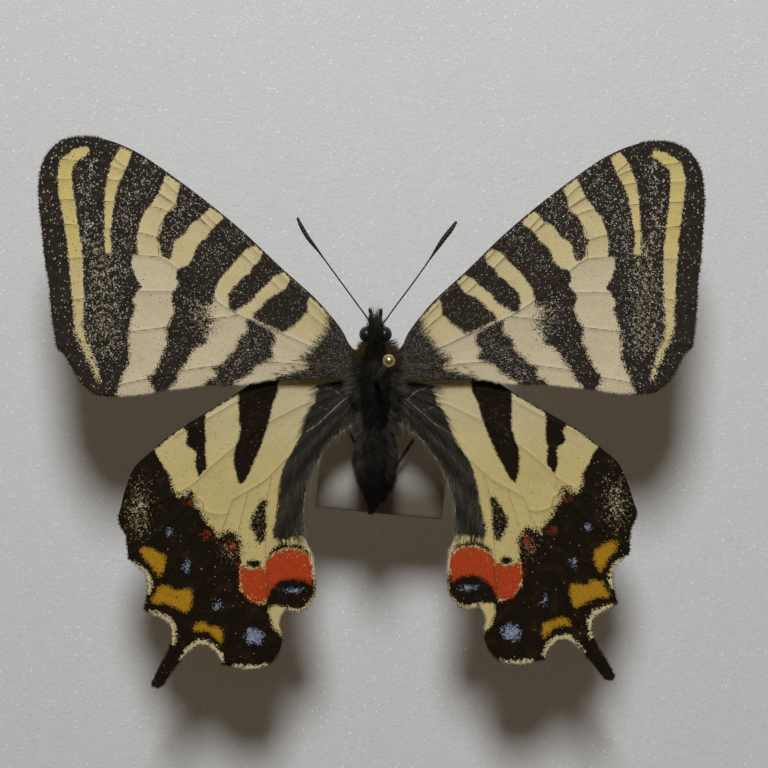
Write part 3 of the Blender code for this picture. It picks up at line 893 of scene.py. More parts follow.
@dataclass
class Wing:
    """One wing: a thin sheet over a fine grid, with raised veins and marked scales.

    The grid's cells whose middles lie in the outline are kept, and their rim is moved onto
    the outline. The upper and lower sheets stand half a thickness from the wing's middle,
    which rises outward and bows down at the wing's rim.

    Its fields are the values that ``WingScales`` reads, one a point of the plan. Depths in
    millimetres: "mark" in the dark marks, "fur" in the furred part, and "red", "gold" and
    "sky" in the spots of those colours. Shares: "warm" of the warm ground, "dust" of single
    pale scales and "fleck" of small pale clumps in the dark marks, and "soot" of dark scales
    in the ground. "fuzz" is how ragged every edge is, and "vein" the distance to a dark line.
    """

    height: float
    runs: tuple[tuple[Rim, Points], ...]
    veins: tuple[Points, ...]
    fields: dict[str, Array] = field(default_factory=dict)
    grid: float = 0.13
    rim_step: float = 0.1
    vein_step: float = 0.15
    half_thickness: float = 0.05
    vein_height: float = 0.085
    vein_width: float = 0.13
    dip: float = 0.07
    dip_reach: float = 1.3
    fan: float = 24.0
    sheet_gap: float = 3.3
    side_gap: float = 10.0
    map_margin: float = 0.012

    def __post_init__(self) -> None:
        """Lays the grid out and works out the chart and the veins' distances."""
        self.curves = [(rim, smooth_curve(points, self.rim_step)) for rim, points in self.runs]
        self.loop = np.vstack([curve[:-1] for _, curve in self.curves]
                              + [self.curves[-1][1][-1:]])
        self.plan, self.cells, self.rim = self.lay()
        lines = [smooth_curve(points, self.vein_step) for points in self.veins]
        self.vein = np.minimum.reduce([path_distance(self.plan, line) for line in lines])
        size = self.loop.max(0) - self.loop.min(0)
        self.order = np.argsort(size)
        self.chart_scale = 1.0 / max(size[self.order[0]] / 0.47, size[self.order[1]] / 0.93)

    def lay(self) -> tuple[Array, Array, Array]:
        """The kept cells of a square grid.

        Returns:
            The points on the plan, the cells' corner numbers and the rim's edges.
        """
        low = self.loop.min(0) - 1.5 * self.grid
        count = np.ceil((self.loop.max(0) - low) / self.grid).astype(int) + 2
        i, j = np.meshgrid(np.arange(count[0]), np.arange(count[1]), indexing="ij")
        middles = low + self.grid * (np.stack([i, j], -1).reshape(-1, 2) + 0.5)
        kept = inside(middles, self.loop).reshape(i.shape)
        for _ in range(4):
            a, b, c, d = kept[:-1, :-1], kept[1:, :-1], kept[:-1, 1:], kept[1:, 1:]
            cross = (a & d & ~b & ~c) | (b & c & ~a & ~d)
            for part in (a, b, c, d):
                part |= cross
        i, j = np.nonzero(kept)
        corner = (count[1] + 1) * i + j
        cells = np.column_stack([corner, corner + count[1] + 1, corner + count[1] + 2, corner + 1])
        used, cells = np.unique(cells.ravel(), return_inverse=True)
        cells = cells.reshape(-1, 4)
        plan = low + self.grid * np.column_stack(np.divmod(used, count[1] + 1))
        edges = np.vstack([np.column_stack([cells[:, k], cells[:, (k + 1) % 4]])
                           for k in range(4)])
        key, back = edges @ (len(plan), 1), edges @ (1, len(plan))
        rim = edges[~np.isin(key, back)]
        on_rim = np.unique(rim)
        plan[on_rim] = nearest(plan[on_rim], self.loop, True)[0]
        return plan, cells, rim

    def chart(self, plan: Array) -> Array:
        """Places on the map for places on the plan, for the upper sheet."""
        return self.map_margin + (plan - self.loop.min(0))[:, self.order] * self.chart_scale

    def place(self, plan: Array, pose: WingPose, lift: Array | float = 0.0) -> Array:
        """Specimen points for points of the plan.

        The height is the wing's own, plus (out' - root) times the rise, less the bow times
        (out' / 8, at most 1) times ((fore' - 6) / 14) squared.

        Args:
            plan: Points as (out, fore).
            pose: The side and set of the wing.
            lift: Added height for each point.

        Returns:
            The points as (x, y, z).
        """
        full = np.column_stack([plan, np.ones(len(plan))])
        out = np.maximum(full @ pose.out_row, WING_LEAST_OUT)
        fore = full @ pose.fore_row
        bow = WING_BOW * np.clip(out / WING_BOW_START, 0.0, 1.0)
        bow = bow * ((fore - WING_BOW_LINE) / WING_BOW_REACH) ** 2
        rise = (out - WING_ROOT_X) * math.sin(WING_RISE)
        return np.column_stack([out * pose.side, fore, self.height + rise - bow + lift])

    def shape(self, pose: WingPose) -> Shape:
        """Both sheets and the rim between them, with the scales' values.

        A vein raises the sheets by a bell of the distance to it, and between the veins both
        sheets sag, at most by the dip.

        Args:
            pose: The side and set of the wing.

        Returns:
            The wing's shape.
        """
        count = len(self.plan)
        ridge = self.vein_height * np.exp(-(self.vein / self.vein_width) ** 2)
        sag = self.dip * np.clip(self.vein / self.dip_reach, 0.0, 1.0)
        top = self.place(self.plan, pose, self.half_thickness + ridge - sag)
        low = self.place(self.plan, pose, -self.half_thickness - 0.6 * ridge - sag)
        a, b = self.rim.T
        sides = np.column_stack([a, a + count, b + count, b])
        flat = self.chart(self.plan)
        under = flat + [0.5, 0.0]
        strip = np.linspace(0.01, 0.99, len(self.rim) + 1)
        rim_uv = np.stack([np.column_stack([strip[:-1], strip[:-1], strip[1:], strip[1:]]),
                           np.tile([0.99, 0.97, 0.97, 0.99], (len(self.rim), 1))], -1)
        faces = [self.cells, self.cells[:, ::-1] + count, sides]
        uvs = [flat[self.cells], under[self.cells[:, ::-1]], rim_uv]
        if pose.side < 0.0:
            faces = [f[:, ::-1] for f in faces]
            uvs = [uv[:, ::-1] for uv in uvs]
        values = {name: np.tile(value, 2) for name, value in self.fields.items()}
        values.setdefault("vein", np.tile(self.vein, 2))
        from_root = self.plan - [WING_ROOT_X, 0.0]
        distance = np.linalg.norm(from_root, axis=1)
        fan = np.arctan2(from_root[:, 1], from_root[:, 0]) * self.fan
        layer = np.repeat([0.0, self.sheet_gap], count) + self.side_gap * pose.side
        values["flow"] = np.column_stack([np.tile(distance, 2), np.tile(fan, 2), layer])
        return Shape(np.vstack([top, low]), faces, uvs, values)

    def fringe(self, pose: WingPose, pale: Array, seed: int) -> Tufts:
        """Fine scales along the outer rim, each pointing out of the wing.

        Args:
            pose: The side and set of the wing.
            pale: How pale the wing is at each point of the plan.
            seed: The start of the random numbers.

        Returns:
            The fringe.
        """
        rng = np.random.default_rng(seed)
        spots, ways = [], []
        for rim, curve in self.curves:
            if rim is not Rim.FRONT:
                count = int(len(curve) * self.rim_step / rim.value)
                place = np.sort(rng.uniform(0, len(curve) - 1, count))
                spot, tangent = (
                    np.column_stack([np.interp(place, np.arange(len(curve)), c) for c in rows.T])
                    for rows in (curve, np.gradient(curve, axis=0)))
                spots.append(spot)
                ways.append(np.column_stack([-tangent[:, 1], tangent[:, 0]]))
        spots, ways = np.vstack(spots), unit(np.vstack(ways))
        middle = spots - 0.06 * ways
        near = np.linalg.norm(self.plan[None, ::3] - middle[:, None], axis=2).argmin(1) * 3
        turn = rng.normal(0.0, 0.28, len(spots))
        turned = np.column_stack([ways[:, 0] * np.cos(turn) - ways[:, 1] * np.sin(turn),
                                  ways[:, 0] * np.sin(turn) + ways[:, 1] * np.cos(turn)])
        roots = self.place(middle, pose)
        heads = self.place(middle + 0.5 * turned, pose) - roots
        return Tufts(roots, heads, heads + [0.0, 0.0, -0.1], rng.uniform(0.15, 0.3, len(spots)),
                     self.chart(middle), rng.uniform(0.05, 0.25, len(spots)), 0.1,
                     np.clip(pale[near], 0.0, 1.0) * rng.uniform(0.5, 0.9, len(spots)),
                     radius=0.03, bend=0.3)

    def down(self, pose: WingPose, area: Array, count: int, lengths: Span, tones: Span,
             seed: int, turned: float = 0.0) -> Tufts:
        """Soft hair that lies out from the body over part of the wing, in streaks of tone.

        Args:
            pose: The side and set of the wing.
            area: The corners of the part of the plan that it grows on.
            count: The number of hairs.
            lengths: The shortest and longest hair.
            tones: The darkest and palest tone.
            seed: The start of the random numbers.
            turned: How much more the hair turns back, in radians for each mm behind the root.

        Returns:
            The hair.
        """
        rng = np.random.default_rng(seed)
        low, high = area.min(0), area.max(0)
        tries = rng.uniform(low, high, (count * 4, 2))
        spots = tries[inside(tries, area) & inside(tries, self.loop)][:count]
        way = np.arctan2(spots[:, 1] - 0.9, spots[:, 0] - 0.3)
        way = way + turned * np.minimum(spots[:, 1], 0.0)
        away = np.column_stack([np.cos(way), np.sin(way)]) + rng.normal(0.0, 0.1, spots.shape)
        roots = self.place(spots, pose, self.half_thickness - 0.02)
        heads = unit(self.place(spots + away, pose) - self.place(spots, pose))
        streak = 0.5 + 0.5 * np.sin(np.arctan2(spots[:, 1], spots[:, 0]) * 41.0 + seed)
        tone = tones[0] + (tones[1] - tones[0]) * streak * rng.uniform(0.3, 1.0, len(spots))
        return Tufts(roots, heads + [0.0, 0.0, 0.16], heads + [0.0, 0.0, -0.1],
                     rng.uniform(*lengths, len(spots)), self.chart(spots), tone,
                     rng.uniform(0.0, 0.16, len(spots)), radius=0.018, bend=0.5)


@dataclass
class WingPair:
    """Two wings of one kind, both set from one plan."""

    scales: Material
    hair: Material
    kind: str
    height: float
    front_edge: float
    right: WingPose
    seed: int
    left: WingPose = WingPose(-1.0)

    OUTLINE = ()
    VEINS = ()

    def marks(self, wing: Wing) -> dict[str, Array]:
        """The wing's values at each point of its plan."""
        raise NotImplementedError

    def coats(self, wing: Wing, pose: WingPose, seed: int) -> list[Tufts]:
        """The long hair on one wing."""
        raise NotImplementedError

    def build(self) -> None:
        """Makes both wings, each with its fringe and its hair as one piece."""
        wing = Wing(self.height, self.OUTLINE, self.VEINS)
        wing.fields = self.marks(wing)
        pale = 1.0 - smooth_step(-0.2, 0.1, wing.fields["mark"])
        slot = f"{self.kind}_scales"
        for seed, (side, pose) in enumerate((("left", self.left), ("right", self.right)),
                                            self.seed):
            name = f"{self.kind}_{side}"
            wing.shape(pose).piece(f"{name}_scaled", self.scales, slot, name)
            coats = [wing.fringe(pose, pale, seed)] + self.coats(wing, pose, seed)
            together([coat.shape() for coat in coats]).piece(f"{name}_fringe", self.hair, slot)


@dataclass
class Forewings(WingPair):
    """The two banded fore wings."""

    kind: str = "forewing"
    height: float = FOREWING_Z
    front_edge: float = 0.2
    right: WingPose = WingPose(1.0, (0.9935, -0.040, 0.16), (0.011, 0.972, -0.10))
    seed: int = 11

    OUTLINE = (
        (Rim.FRONT, (
            (1.2, 1.7), (1.75, 2.3), (2.45, 3.2), (2.95, 4.2), (4.0, 5.6), (5.6, 7.35),
            (8.55, 10.0), (12.0, 13.25), (15.4, 16.05), (18.5, 18.35), (21.0, 20.05), (23.0, 21.03),
            (24.6, 21.55))),
        (Rim.FRINGED, (
            (24.6, 21.55), (26.0, 21.73), (27.3, 21.6), (28.4, 21.2), (29.2, 20.5), (29.8, 19.5),
            (30.12, 18.4), (30.22, 17.0), (30.2, 15.6), (30.0, 14.0), (29.85, 12.5), (29.65, 10.6),
            (29.3, 8.6), (29.12, 6.6), (28.88, 4.6), (28.55, 2.6))),
        (Rim.INNER, (
            (28.55, 2.6), (27.9, 2.05), (27.3, 1.05), (26.6, -0.2), (25.9, -0.95), (25.1, -1.5),
            (24.0, -1.62), (22.4, -1.6), (20.8, -1.45), (19.0, -1.13), (17.0, -0.92), (15.0, -0.65),
            (13.0, -0.68), (11.3, -0.52), (9.5, -0.17), (7.5, -0.15), (5.0, -0.15), (2.05, -0.05),
            (1.2, 0.2))),
    )
    VEINS = (
        ((3.0, 3.9), (6.0, 7.0), (9.5, 10.1), (12.6, 13.2)),
        ((2.6, 2.9), (6.0, 5.8), (8.9, 8.3), (11.6, 10.7), (15.0, 13.6), (18.0, 15.6)),
        ((11.6, 10.7), (14.5, 13.9), (17.7, 17.3)),
        ((15.0, 13.6), (18.2, 16.9), (21.3, 19.7)),
        ((18.0, 15.6), (21.2, 17.9), (25.3, 21.2)),
        ((21.2, 17.9), (24.2, 19.2), (27.2, 19.55), (29.5, 19.7)),
        ((18.0, 15.6), (21.0, 17.2), (24.0, 17.8), (27.0, 17.85), (29.9, 17.9)),
        ((18.6, 14.9), (20.0, 15.4), (23.5, 15.8), (27.2, 16.0), (29.9, 16.1)),
        ((19.55, 12.6), (21.5, 13.1), (24.0, 13.45), (26.7, 13.7), (29.7, 13.9)),
        ((2.5, 1.9), (5.6, 2.75), (8.2, 3.9), (11.6, 5.35), (13.2, 6.2), (14.4, 7.0),
         (16.9, 9.0), (18.4, 10.25), (19.4, 10.85)),
        ((19.4, 10.85), (21.3, 11.0), (25.2, 10.8), (27.7, 10.72), (29.4, 10.6)),
        ((15.3, 7.75), (18.2, 7.75), (21.6, 7.72), (24.5, 7.4), (27.3, 6.93), (28.9, 6.65)),
        ((12.2, 5.65), (14.7, 5.3), (18.8, 4.55), (22.2, 4.1), (25.2, 3.5), (28.3, 2.85)),
        ((2.5, 1.0), (5.5, 1.1), (9.0, 1.4), (12.0, 1.3), (15.0, 1.0), (18.0, 0.52),
         (20.3, -0.05), (22.6, -0.55), (24.6, -1.3)),
        ((18.0, 15.6), (18.6, 14.9), (19.3, 13.8), (19.55, 12.6), (19.4, 10.85)),
    )
    OUTER_DARK = (
        (18.9, 18.1), (19.2, 17.3), (19.5, 16.6), (20.0, 15.9), (20.5, 15.2), (20.9, 14.7),
        (21.1, 14.0), (21.45, 12.5), (21.3, 11.1), (21.9, 11.0), (21.9, 10.0), (21.5, 9.0),
        (21.0, 8.2), (21.5, 7.6), (21.8, 7.0), (21.6, 6.2), (22.0, 5.0), (22.1, 4.0), (22.2, 3.0),
        (22.1, 1.5), (22.6, 0.5), (22.95, -0.5), (23.2, -1.5), (23.3, -4.0), (34.0, -4.0),
        (34.0, 26.0), (18.0, 26.0), (18.4, 19.5))
    INNER_STRIPE = (
        (22.35, 20.6, 0.5), (22.95, 19.3, 0.7), (23.5, 18.0, 0.6), (23.85, 16.5, 0.47),
        (24.0, 14.7, 0.36), (24.1, 12.6, 0.27), (23.95, 11.2, 0.28))
    OUTER_STRIPE = (
        (25.75, 20.6, 0.3), (26.8, 20.15, 0.5), (27.75, 19.3, 0.64), (27.95, 18.0, 0.66),
        (27.7, 16.2, 0.63), (27.3, 13.8, 0.6), (27.0, 11.7, 0.64), (26.87, 10.2, 0.6),
        (26.75, 8.1, 0.55), (26.65, 6.3, 0.46), (26.65, 4.5, 0.38), (26.25, 3.3, 0.36),
        (25.7, 2.1, 0.3), (25.2, 0.9, 0.22), (24.8, -0.3, 0.12))
    DARK_BANDS = (
        ((17.45, 17.55), (17.6, 17.2), (17.9, 16.2), (18.0, 15.4), (18.8, 14.7), (19.1, 14.0),
         (19.3, 13.0), (19.65, 12.6), (19.4, 12.0), (19.25, 11.2), (18.9, 10.8), (18.5, 10.65),
         (18.25, 11.2), (18.15, 11.8), (18.0, 12.4), (17.2, 12.9), (16.7, 13.6), (16.4, 14.0),
         (15.6, 14.5), (15.1, 15.1), (14.85, 15.3), (14.5, 16.0), (16.8, 17.9)),
        ((13.6, 14.6), (13.9, 14.1), (14.6, 13.5), (15.0, 13.0), (15.2, 12.6), (15.6, 12.3),
         (16.0, 11.9), (16.3, 11.3), (16.4, 10.8), (17.0, 10.1), (17.7, 9.8), (17.9, 9.0),
         (17.7, 8.5), (18.2, 7.7), (18.35, 7.2), (18.1, 6.2), (18.4, 5.2), (18.8, 4.3),
         (18.7, 3.2), (19.0, 2.6), (19.3, 1.6), (19.8, 0.7), (20.3, -0.1), (19.9, -1.05),
         (19.6, -1.8), (19.0, -1.5), (18.3, -0.7), (17.9, -0.3), (17.6, 0.6), (16.9, 1.5),
         (16.5, 2.3), (16.0, 2.8), (15.3, 3.0), (15.1, 3.9), (14.7, 4.9), (15.1, 6.2), (14.5, 6.8),
         (14.5, 7.3), (14.3, 8.2), (13.8, 9.1), (13.1, 9.9), (12.3, 10.8), (11.7, 11.5),
         (10.7, 12.0), (10.4, 12.6), (13.2, 15.2)),
        ((10.05, 11.3), (9.1, 10.4), (8.3, 9.7), (8.5, 9.4), (9.1, 9.2), (9.3, 8.9), (9.8, 8.4),
         (10.6, 7.7), (11.0, 7.1), (11.6, 6.6), (12.2, 6.3), (12.6, 6.0), (13.1, 6.2),
         (13.25, 7.3), (13.0, 7.9), (12.5, 8.4), (11.8, 9.2), (11.3, 9.4), (11.1, 10.0),
         (10.4, 10.6)),
        ((7.5, 8.9), (7.0, 8.4), (6.4, 7.9), (5.85, 7.4), (6.1, 6.9), (6.1, 6.0), (6.5, 5.6),
         (6.9, 5.1), (7.8, 4.4), (8.2, 4.1), (8.7, 4.2), (10.0, 4.8), (11.0, 5.3), (10.85, 5.9),
         (10.3, 6.4), (9.9, 6.9), (9.4, 7.3), (8.9, 7.6), (8.4, 7.8), (8.0, 8.2), (7.7, 8.8)),
        ((11.6, 5.2), (11.6, 4.1), (12.1, 3.8), (12.5, 3.0), (12.6, 2.6), (13.0, 2.2), (13.6, 1.5),
         (13.8, 1.2), (14.4, 1.05), (14.6, 0.8), (14.4, 0.5), (14.5, 0.1), (15.3, -0.4),
         (15.1, -0.9), (13.2, -1.0), (12.6, -0.4), (11.6, 0.2), (11.1, 0.6), (10.9, 1.0),
         (10.1, 1.4), (9.2, 1.8), (9.4, 2.7), (9.1, 3.1), (9.0, 3.8), (9.4, 4.2), (10.0, 4.6),
         (11.2, 5.2)),
        ((4.0, 6.4), (4.3, 5.8), (4.4, 4.5), (4.7, 3.9), (5.1, 3.4), (5.5, 2.9), (5.9, 2.3),
         (6.7, 1.7), (6.1, 0.9), (7.0, 0.6), (8.5, 0.2), (9.0, -0.1), (9.0, -1.0), (0.0, -1.0),
         (0.0, 6.4)),
    )
    BASE = ((0.8, 3.4), (2.6, 4.9), (3.6, 5.4), (4.5, 4.6), (5.4, 3.2), (6.8, 1.8), (9.0, 0.3),
            (8.0, -0.6), (0.8, -0.4))
    CELL_LINE = ((2.5, 1.9), (11.6, 5.35), (19.4, 10.85), (30.0, 10.6))
    DUSTED = (
        (0.2, 0.8, ((25.7, 19.0), (26.0, 15.5), (25.5, 12.0))),
        (0.27, 1.5, ((24.1, 10.8), (24.7, 8.0), (24.4, 5.0), (24.1, 3.2))),
        (0.13, 1.3, ((20.3, 18.6), (22.4, 15.5), (22.6, 13.0))),
        (0.1, 1.1, ((16.3, 16.8), (17.6, 14.2), (18.6, 12.0))),
        (0.07, 1.0, ((12.4, 13.4), (15.0, 10.5))),
        (0.03, 1.0, ((17.0, 8.0), (17.2, 4.0), (18.7, 1.0))),
        (0.3, 0.7, ((15.0, 5.9), (15.9, 6.3), (15.3, 4.4))),
        (0.1, 1.0, ((10.4, 3.6), (12.5, 1.4), (13.6, 0.2))),
    )

    def marks(self, wing: Wing) -> dict[str, Array]:
        """Marks the bands, less the two pale stripes, and the dust on them.

        Args:
            wing: The plan.

        Returns:
            The values at each point of the plan.
        """
        plan = wing.plan
        dark = deepest(plan, rounded(self.DARK_BANDS, 0.2))
        outer = depth_in(plan, np.asarray(self.OUTER_DARK), 4.0)
        inner_stripe = depth_in(plan, ribbon(self.INNER_STRIPE))
        outer_stripe = depth_in(plan, ribbon(self.OUTER_STRIPE))
        stripes = np.maximum(inner_stripe, outer_stripe)
        front = self.front_edge - path_distance(plan, wing.curves[0][1])
        dark = np.maximum.reduce([dark, np.minimum(outer, -stripes), front])
        over_cell = plan[:, 1] - np.interp(plan[:, 0], *np.transpose(self.CELL_LINE))
        base = depth_in(plan, smooth_curve(self.BASE, 0.2, True))
        low = 1.0 - smooth_step(3.0, 9.0, plan[:, 1])
        dust = sum(share * near_path(plan, path, reach) for share, reach, path in self.DUSTED)
        return {
            "mark": np.clip(dark, -FAR, FAR),
            "warm": np.clip(0.4 * smooth_step(-0.3, 0.7, over_cell)
                            + 0.6 * smooth_step(-0.1, 0.2, outer_stripe)
                            + 0.3 * smooth_step(-0.1, 0.2, inner_stripe), 0.0, 0.85),
            "fuzz": 0.55 + 0.75 * low * smooth_step(4.0, 9.0, plan[:, 0])
            + 2.0 * near_path(plan, ((14.9, 6.2), (15.0, 4.6)), 0.9)
            + 1.8 * near_path(plan, ((3.8, 6.0), (4.3, 4.6), (5.2, 3.1), (6.4, 1.6)), 0.8),
            "dust": (0.03 + dust) * (1.0 - 0.8 * smooth_step(-0.2, 0.4, base)),
            "fleck": 0.02 + 0.05 * smooth_step(0.0, 1.5, over_cell)
            * smooth_step(6.0, 14.0, plan[:, 0])
            + 0.2 * smooth_step(-0.4, 0.3, base) + 0.5 * dust * (over_cell < 0.0),
            "soot": 0.004 + 0.05 * smooth_step(-0.6, -0.1, dark) * low,
            "fur": 0.5 * smooth_step(3.4, 1.4, plan[:, 0]) - 0.3,
        }

    def coats(self, wing: Wing, pose: WingPose, seed: int) -> list[Tufts]:
        """The short down at one wing's root.

        Args:
            wing: The plan.
            pose: The side and set of the wing.
            seed: The start of the random numbers.

        Returns:
            The down, as the only one in a list.
        """
        return [wing.down(pose, np.asarray(self.BASE), 260, (0.3, 0.8), (0.02, 0.4), seed)]


@dataclass
class Hindwings(WingPair):
    """The two tailed hind wings with their coloured spots."""

    kind: str = "hindwing"
    height: float = HINDWING_Z
    front_edge: float = 0.14
    right: WingPose = WingPose(1.0, (0.981, -0.064, 0.0), (0.0225, 0.986, -0.18))
    seed: int = 21

    OUTLINE = (
        (Rim.FRONT, (
            (1.2, -0.3), (2.05, 0.0), (4.0, 0.6), (7.0, 0.9), (10.0, 0.2), (13.2, -1.8),
            (15.7, -3.35), (18.6, -5.2), (20.4, -6.75), (21.8, -8.1), (22.6, -10.0), (23.0, -11.6),
            (23.25, -12.4))),
        (Rim.FRINGED, (
            (23.25, -12.4), (23.1, -13.2), (22.6, -14.2), (22.42, -15.2), (22.35, -16.25))),
        (Rim.FRINGED, (
            (22.35, -16.25), (21.6, -16.95), (20.95, -17.6), (20.7, -18.4), (20.65, -19.2),
            (20.8, -20.2), (20.95, -20.95))),
        (Rim.FRINGED, (
            (20.95, -20.95), (20.2, -21.45), (19.2, -21.85), (18.7, -22.45), (18.5, -23.4),
            (18.85, -24.8), (19.5, -26.0), (20.1, -27.2), (20.3, -27.8), (20.0, -28.05),
            (19.5, -28.0), (19.1, -27.55), (18.5, -26.7), (17.7, -25.7), (17.0, -24.85),
            (16.1, -24.25), (15.3, -24.3), (14.6, -24.85), (14.15, -25.5), (13.95, -26.0))),
        (Rim.FRINGED, (
            (13.95, -26.0), (13.3, -26.1), (12.0, -26.45), (10.6, -26.35), (9.5, -25.9),
            (8.85, -25.0), (8.55, -24.1), (8.45, -23.3))),
        (Rim.FRINGED, (
            (8.45, -23.3), (8.78, -22.4), (8.65, -21.6), (8.2, -20.95))),
        (Rim.INNER, (
            (8.2, -20.95), (7.1, -21.2), (6.2, -20.85), (5.6, -19.9), (5.45, -18.8), (5.5, -17.4),
            (5.75, -15.9), (6.25, -14.8), (6.5, -13.2), (6.5, -11.4), (6.1, -9.6), (5.2, -7.5),
            (4.0, -5.7), (3.0, -4.85), (2.05, -4.15), (1.2, -3.3))),
    )
    VEINS = (
        ((2.4, -0.6), (7.0, -0.5), (11.0, -1.4), (15.0, -3.6), (18.2, -5.3)),
        ((2.4, -1.0), (6.0, -2.2), (10.5, -4.6), (14.0, -7.3), (16.0, -9.2), (17.3, -10.1),
         (20.0, -11.3), (23.0, -12.3)),
        ((16.0, -9.2), (16.3, -10.6), (19.0, -13.4), (22.1, -16.0)),
        ((16.3, -10.6), (15.6, -11.9), (17.9, -16.2), (20.7, -20.6)),
        ((12.9, -11.0), (13.9, -13.8), (15.7, -18.5), (17.5, -23.2), (19.7, -27.6)),
        ((2.4, -1.5), (5.2, -4.0), (8.0, -7.2), (9.8, -9.1), (11.5, -10.2), (12.9, -11.0)),
        ((15.6, -11.9), (14.6, -12.3), (13.3, -12.3)),
        ((11.5, -10.2), (12.4, -14.0), (13.0, -20.0), (13.4, -25.7)),
        ((9.4, -8.7), (9.9, -12.0), (9.9, -18.0), (9.7, -21.5), (8.9, -24.3)),
        ((2.4, -2.2), (4.6, -3.8), (6.4, -5.9), (7.3, -8.5), (7.6, -12.0), (7.5, -16.0),
         (6.9, -20.8)),
    )
    OUTER_DARK = (
        (20.0, -6.5), (19.5, -7.3), (19.1, -8.1), (18.6, -8.8), (18.4, -9.4), (18.3, -10.0),
        (17.9, -10.6), (17.4, -10.6), (17.0, -10.2), (16.5, -10.3), (16.4, -11.0), (16.1, -11.6),
        (15.7, -12.1), (15.5, -12.6), (15.1, -13.1), (14.7, -13.5), (14.3, -14.0), (14.3, -14.4),
        (13.6, -13.9), (13.0, -13.8), (12.5, -14.3), (12.2, -14.9), (12.15, -16.0),
        (12.2, -19.2), (11.6, -19.8), (11.0, -20.2), (10.4, -20.5), (9.9, -20.6), (9.6, -20.8),
        (9.5, -21.8), (9.1, -22.6), (8.7, -22.9), (8.5, -23.3), (8.0, -25.0), (8.0, -30.0),
        (26.0, -30.0), (26.0, -5.0), (21.0, -5.0))
    DARK_BARS = (
        ((17.3, -4.6), (16.95, -4.95), (17.1, -5.85), (16.85, -6.2), (16.4, -6.5), (16.2, -7.0),
         (16.3, -7.5), (16.2, -8.25), (15.9, -8.9), (15.5, -8.4), (15.25, -8.15), (15.3, -7.4),
         (15.4, -6.5), (15.3, -5.75), (15.4, -4.2), (15.4, -3.0), (16.0, -3.2), (17.3, -4.1)),
        ((12.4, -2.0), (12.3, -4.0), (12.25, -4.8), (12.6, -6.2), (12.8, -6.8), (12.7, -8.3),
         (12.4, -9.4), (12.15, -9.65), (11.8, -9.3), (11.3, -8.3), (10.9, -7.4), (10.6, -6.8),
         (10.2, -5.7), (9.8, -4.5), (9.5, -3.4), (9.3, -2.4), (8.8, -1.2), (8.8, -0.6), (8.9, 0.6),
         (12.2, -0.4)),
        ((10.15, -10.9), (9.8, -11.2), (9.95, -11.9), (9.9, -13.6), (10.1, -14.8), (10.6, -14.9),
         (10.9, -14.4), (11.35, -13.3), (11.0, -12.2), (10.5, -11.3)),
        ((10.0, -17.5), (9.2, -17.0), (8.0, -16.6), (6.8, -16.8), (5.8, -17.5), (5.5, -19.0),
         (5.7, -20.0), (6.4, -20.9), (7.3, -21.15), (8.3, -20.9), (9.1, -20.85), (10.0, -20.6)),
        ((11.6, -16.8), (11.3, -16.5), (10.9, -16.45), (10.45, -16.65), (10.45, -17.0),
         (10.9, -17.2), (11.4, -17.1)),
    )
    PALE_RIM = (
        ((22.1, -16.75, 0.24), (21.2, -17.25, 0.26), (20.55, -18.1, 0.28), (20.45, -18.9, 0.26),
         (20.6, -19.6, 0.16)),
        ((20.6, -21.1, 0.14), (19.8, -21.4, 0.26), (18.8, -21.85, 0.3), (18.35, -22.5, 0.28),
         (18.25, -23.4, 0.24), (18.4, -24.2, 0.14)),
        ((17.7, -25.5, 0.14), (17.0, -24.65, 0.26), (16.1, -23.95, 0.28), (15.2, -24.05, 0.28),
         (14.4, -24.75, 0.26), (13.8, -25.7, 0.24)),
        ((12.9, -26.15, 0.16), (11.8, -26.3, 0.24), (10.6, -26.25, 0.2), (9.8, -26.0, 0.14)),
        ((8.2, -20.95, 0.2), (7.1, -21.15, 0.22), (6.25, -20.85, 0.2), (5.7, -20.0, 0.14)),
        ((5.6, -18.0, 0.15), (5.7, -16.8, 0.22), (5.9, -15.8, 0.24), (6.3, -14.9, 0.2)),
    )
    NOTCH = ((9.6, -20.8), (8.3, -20.8), (8.5, -22.0), (8.55, -23.2), (8.9, -23.0), (9.2, -22.7),
             (9.55, -21.8))
    RED = (
        ((9.95, -16.9), (9.6, -16.25), (9.0, -15.75), (8.15, -15.45), (7.1, -15.5),
         (6.35, -15.85), (5.85, -16.4), (5.72, -17.3), (5.75, -18.25), (5.9, -18.7),
         (6.5, -18.35), (7.6, -18.2), (8.7, -18.5), (9.5, -19.35), (9.95, -20.1)),
        ((12.3, -17.0), (11.7, -17.15), (10.9, -17.3), (10.2, -17.1), (9.88, -16.9),
         (9.88, -20.1), (10.4, -20.4), (11.0, -20.4), (11.5, -20.1), (12.0, -19.4),
         (12.35, -18.5)),
    )
    SPRINKLED = ((13.1, -15.4, 0.9, 1.1, 0.1), (15.4, -14.2, 0.6, 0.5, 0.02),
                 (16.9, -11.2, 0.7, 0.6, 0.16), (12.6, -17.5, 0.5, 1.5, 0.15))
    ARC = ((9.75, -16.7, 0.1), (9.5, -16.0, 0.17), (9.05, -15.5, 0.2), (8.15, -15.2, 0.2),
           (7.1, -15.26, 0.18), (6.35, -15.6, 0.16), (5.95, -16.1, 0.1))
    GOLD = (
        ((21.4, -15.5), (20.9, -15.2), (20.4, -15.25), (19.5, -15.8), (19.1, -16.0),
         (19.05, -17.2), (19.6, -18.0), (20.3, -17.1), (21.1, -16.1)),
        ((19.7, -18.8), (18.7, -18.8), (18.2, -19.1), (16.8, -19.1), (16.6, -19.6),
         (16.65, -20.3), (17.1, -21.3), (18.3, -20.8), (19.1, -20.5), (20.3, -20.4),
         (19.9, -19.3)),
        ((16.5, -22.4), (15.6, -22.1), (15.1, -22.4), (14.1, -22.6), (13.8, -23.4),
         (14.0, -24.1), (14.9, -23.3), (15.5, -23.0), (16.5, -22.95)),
    )
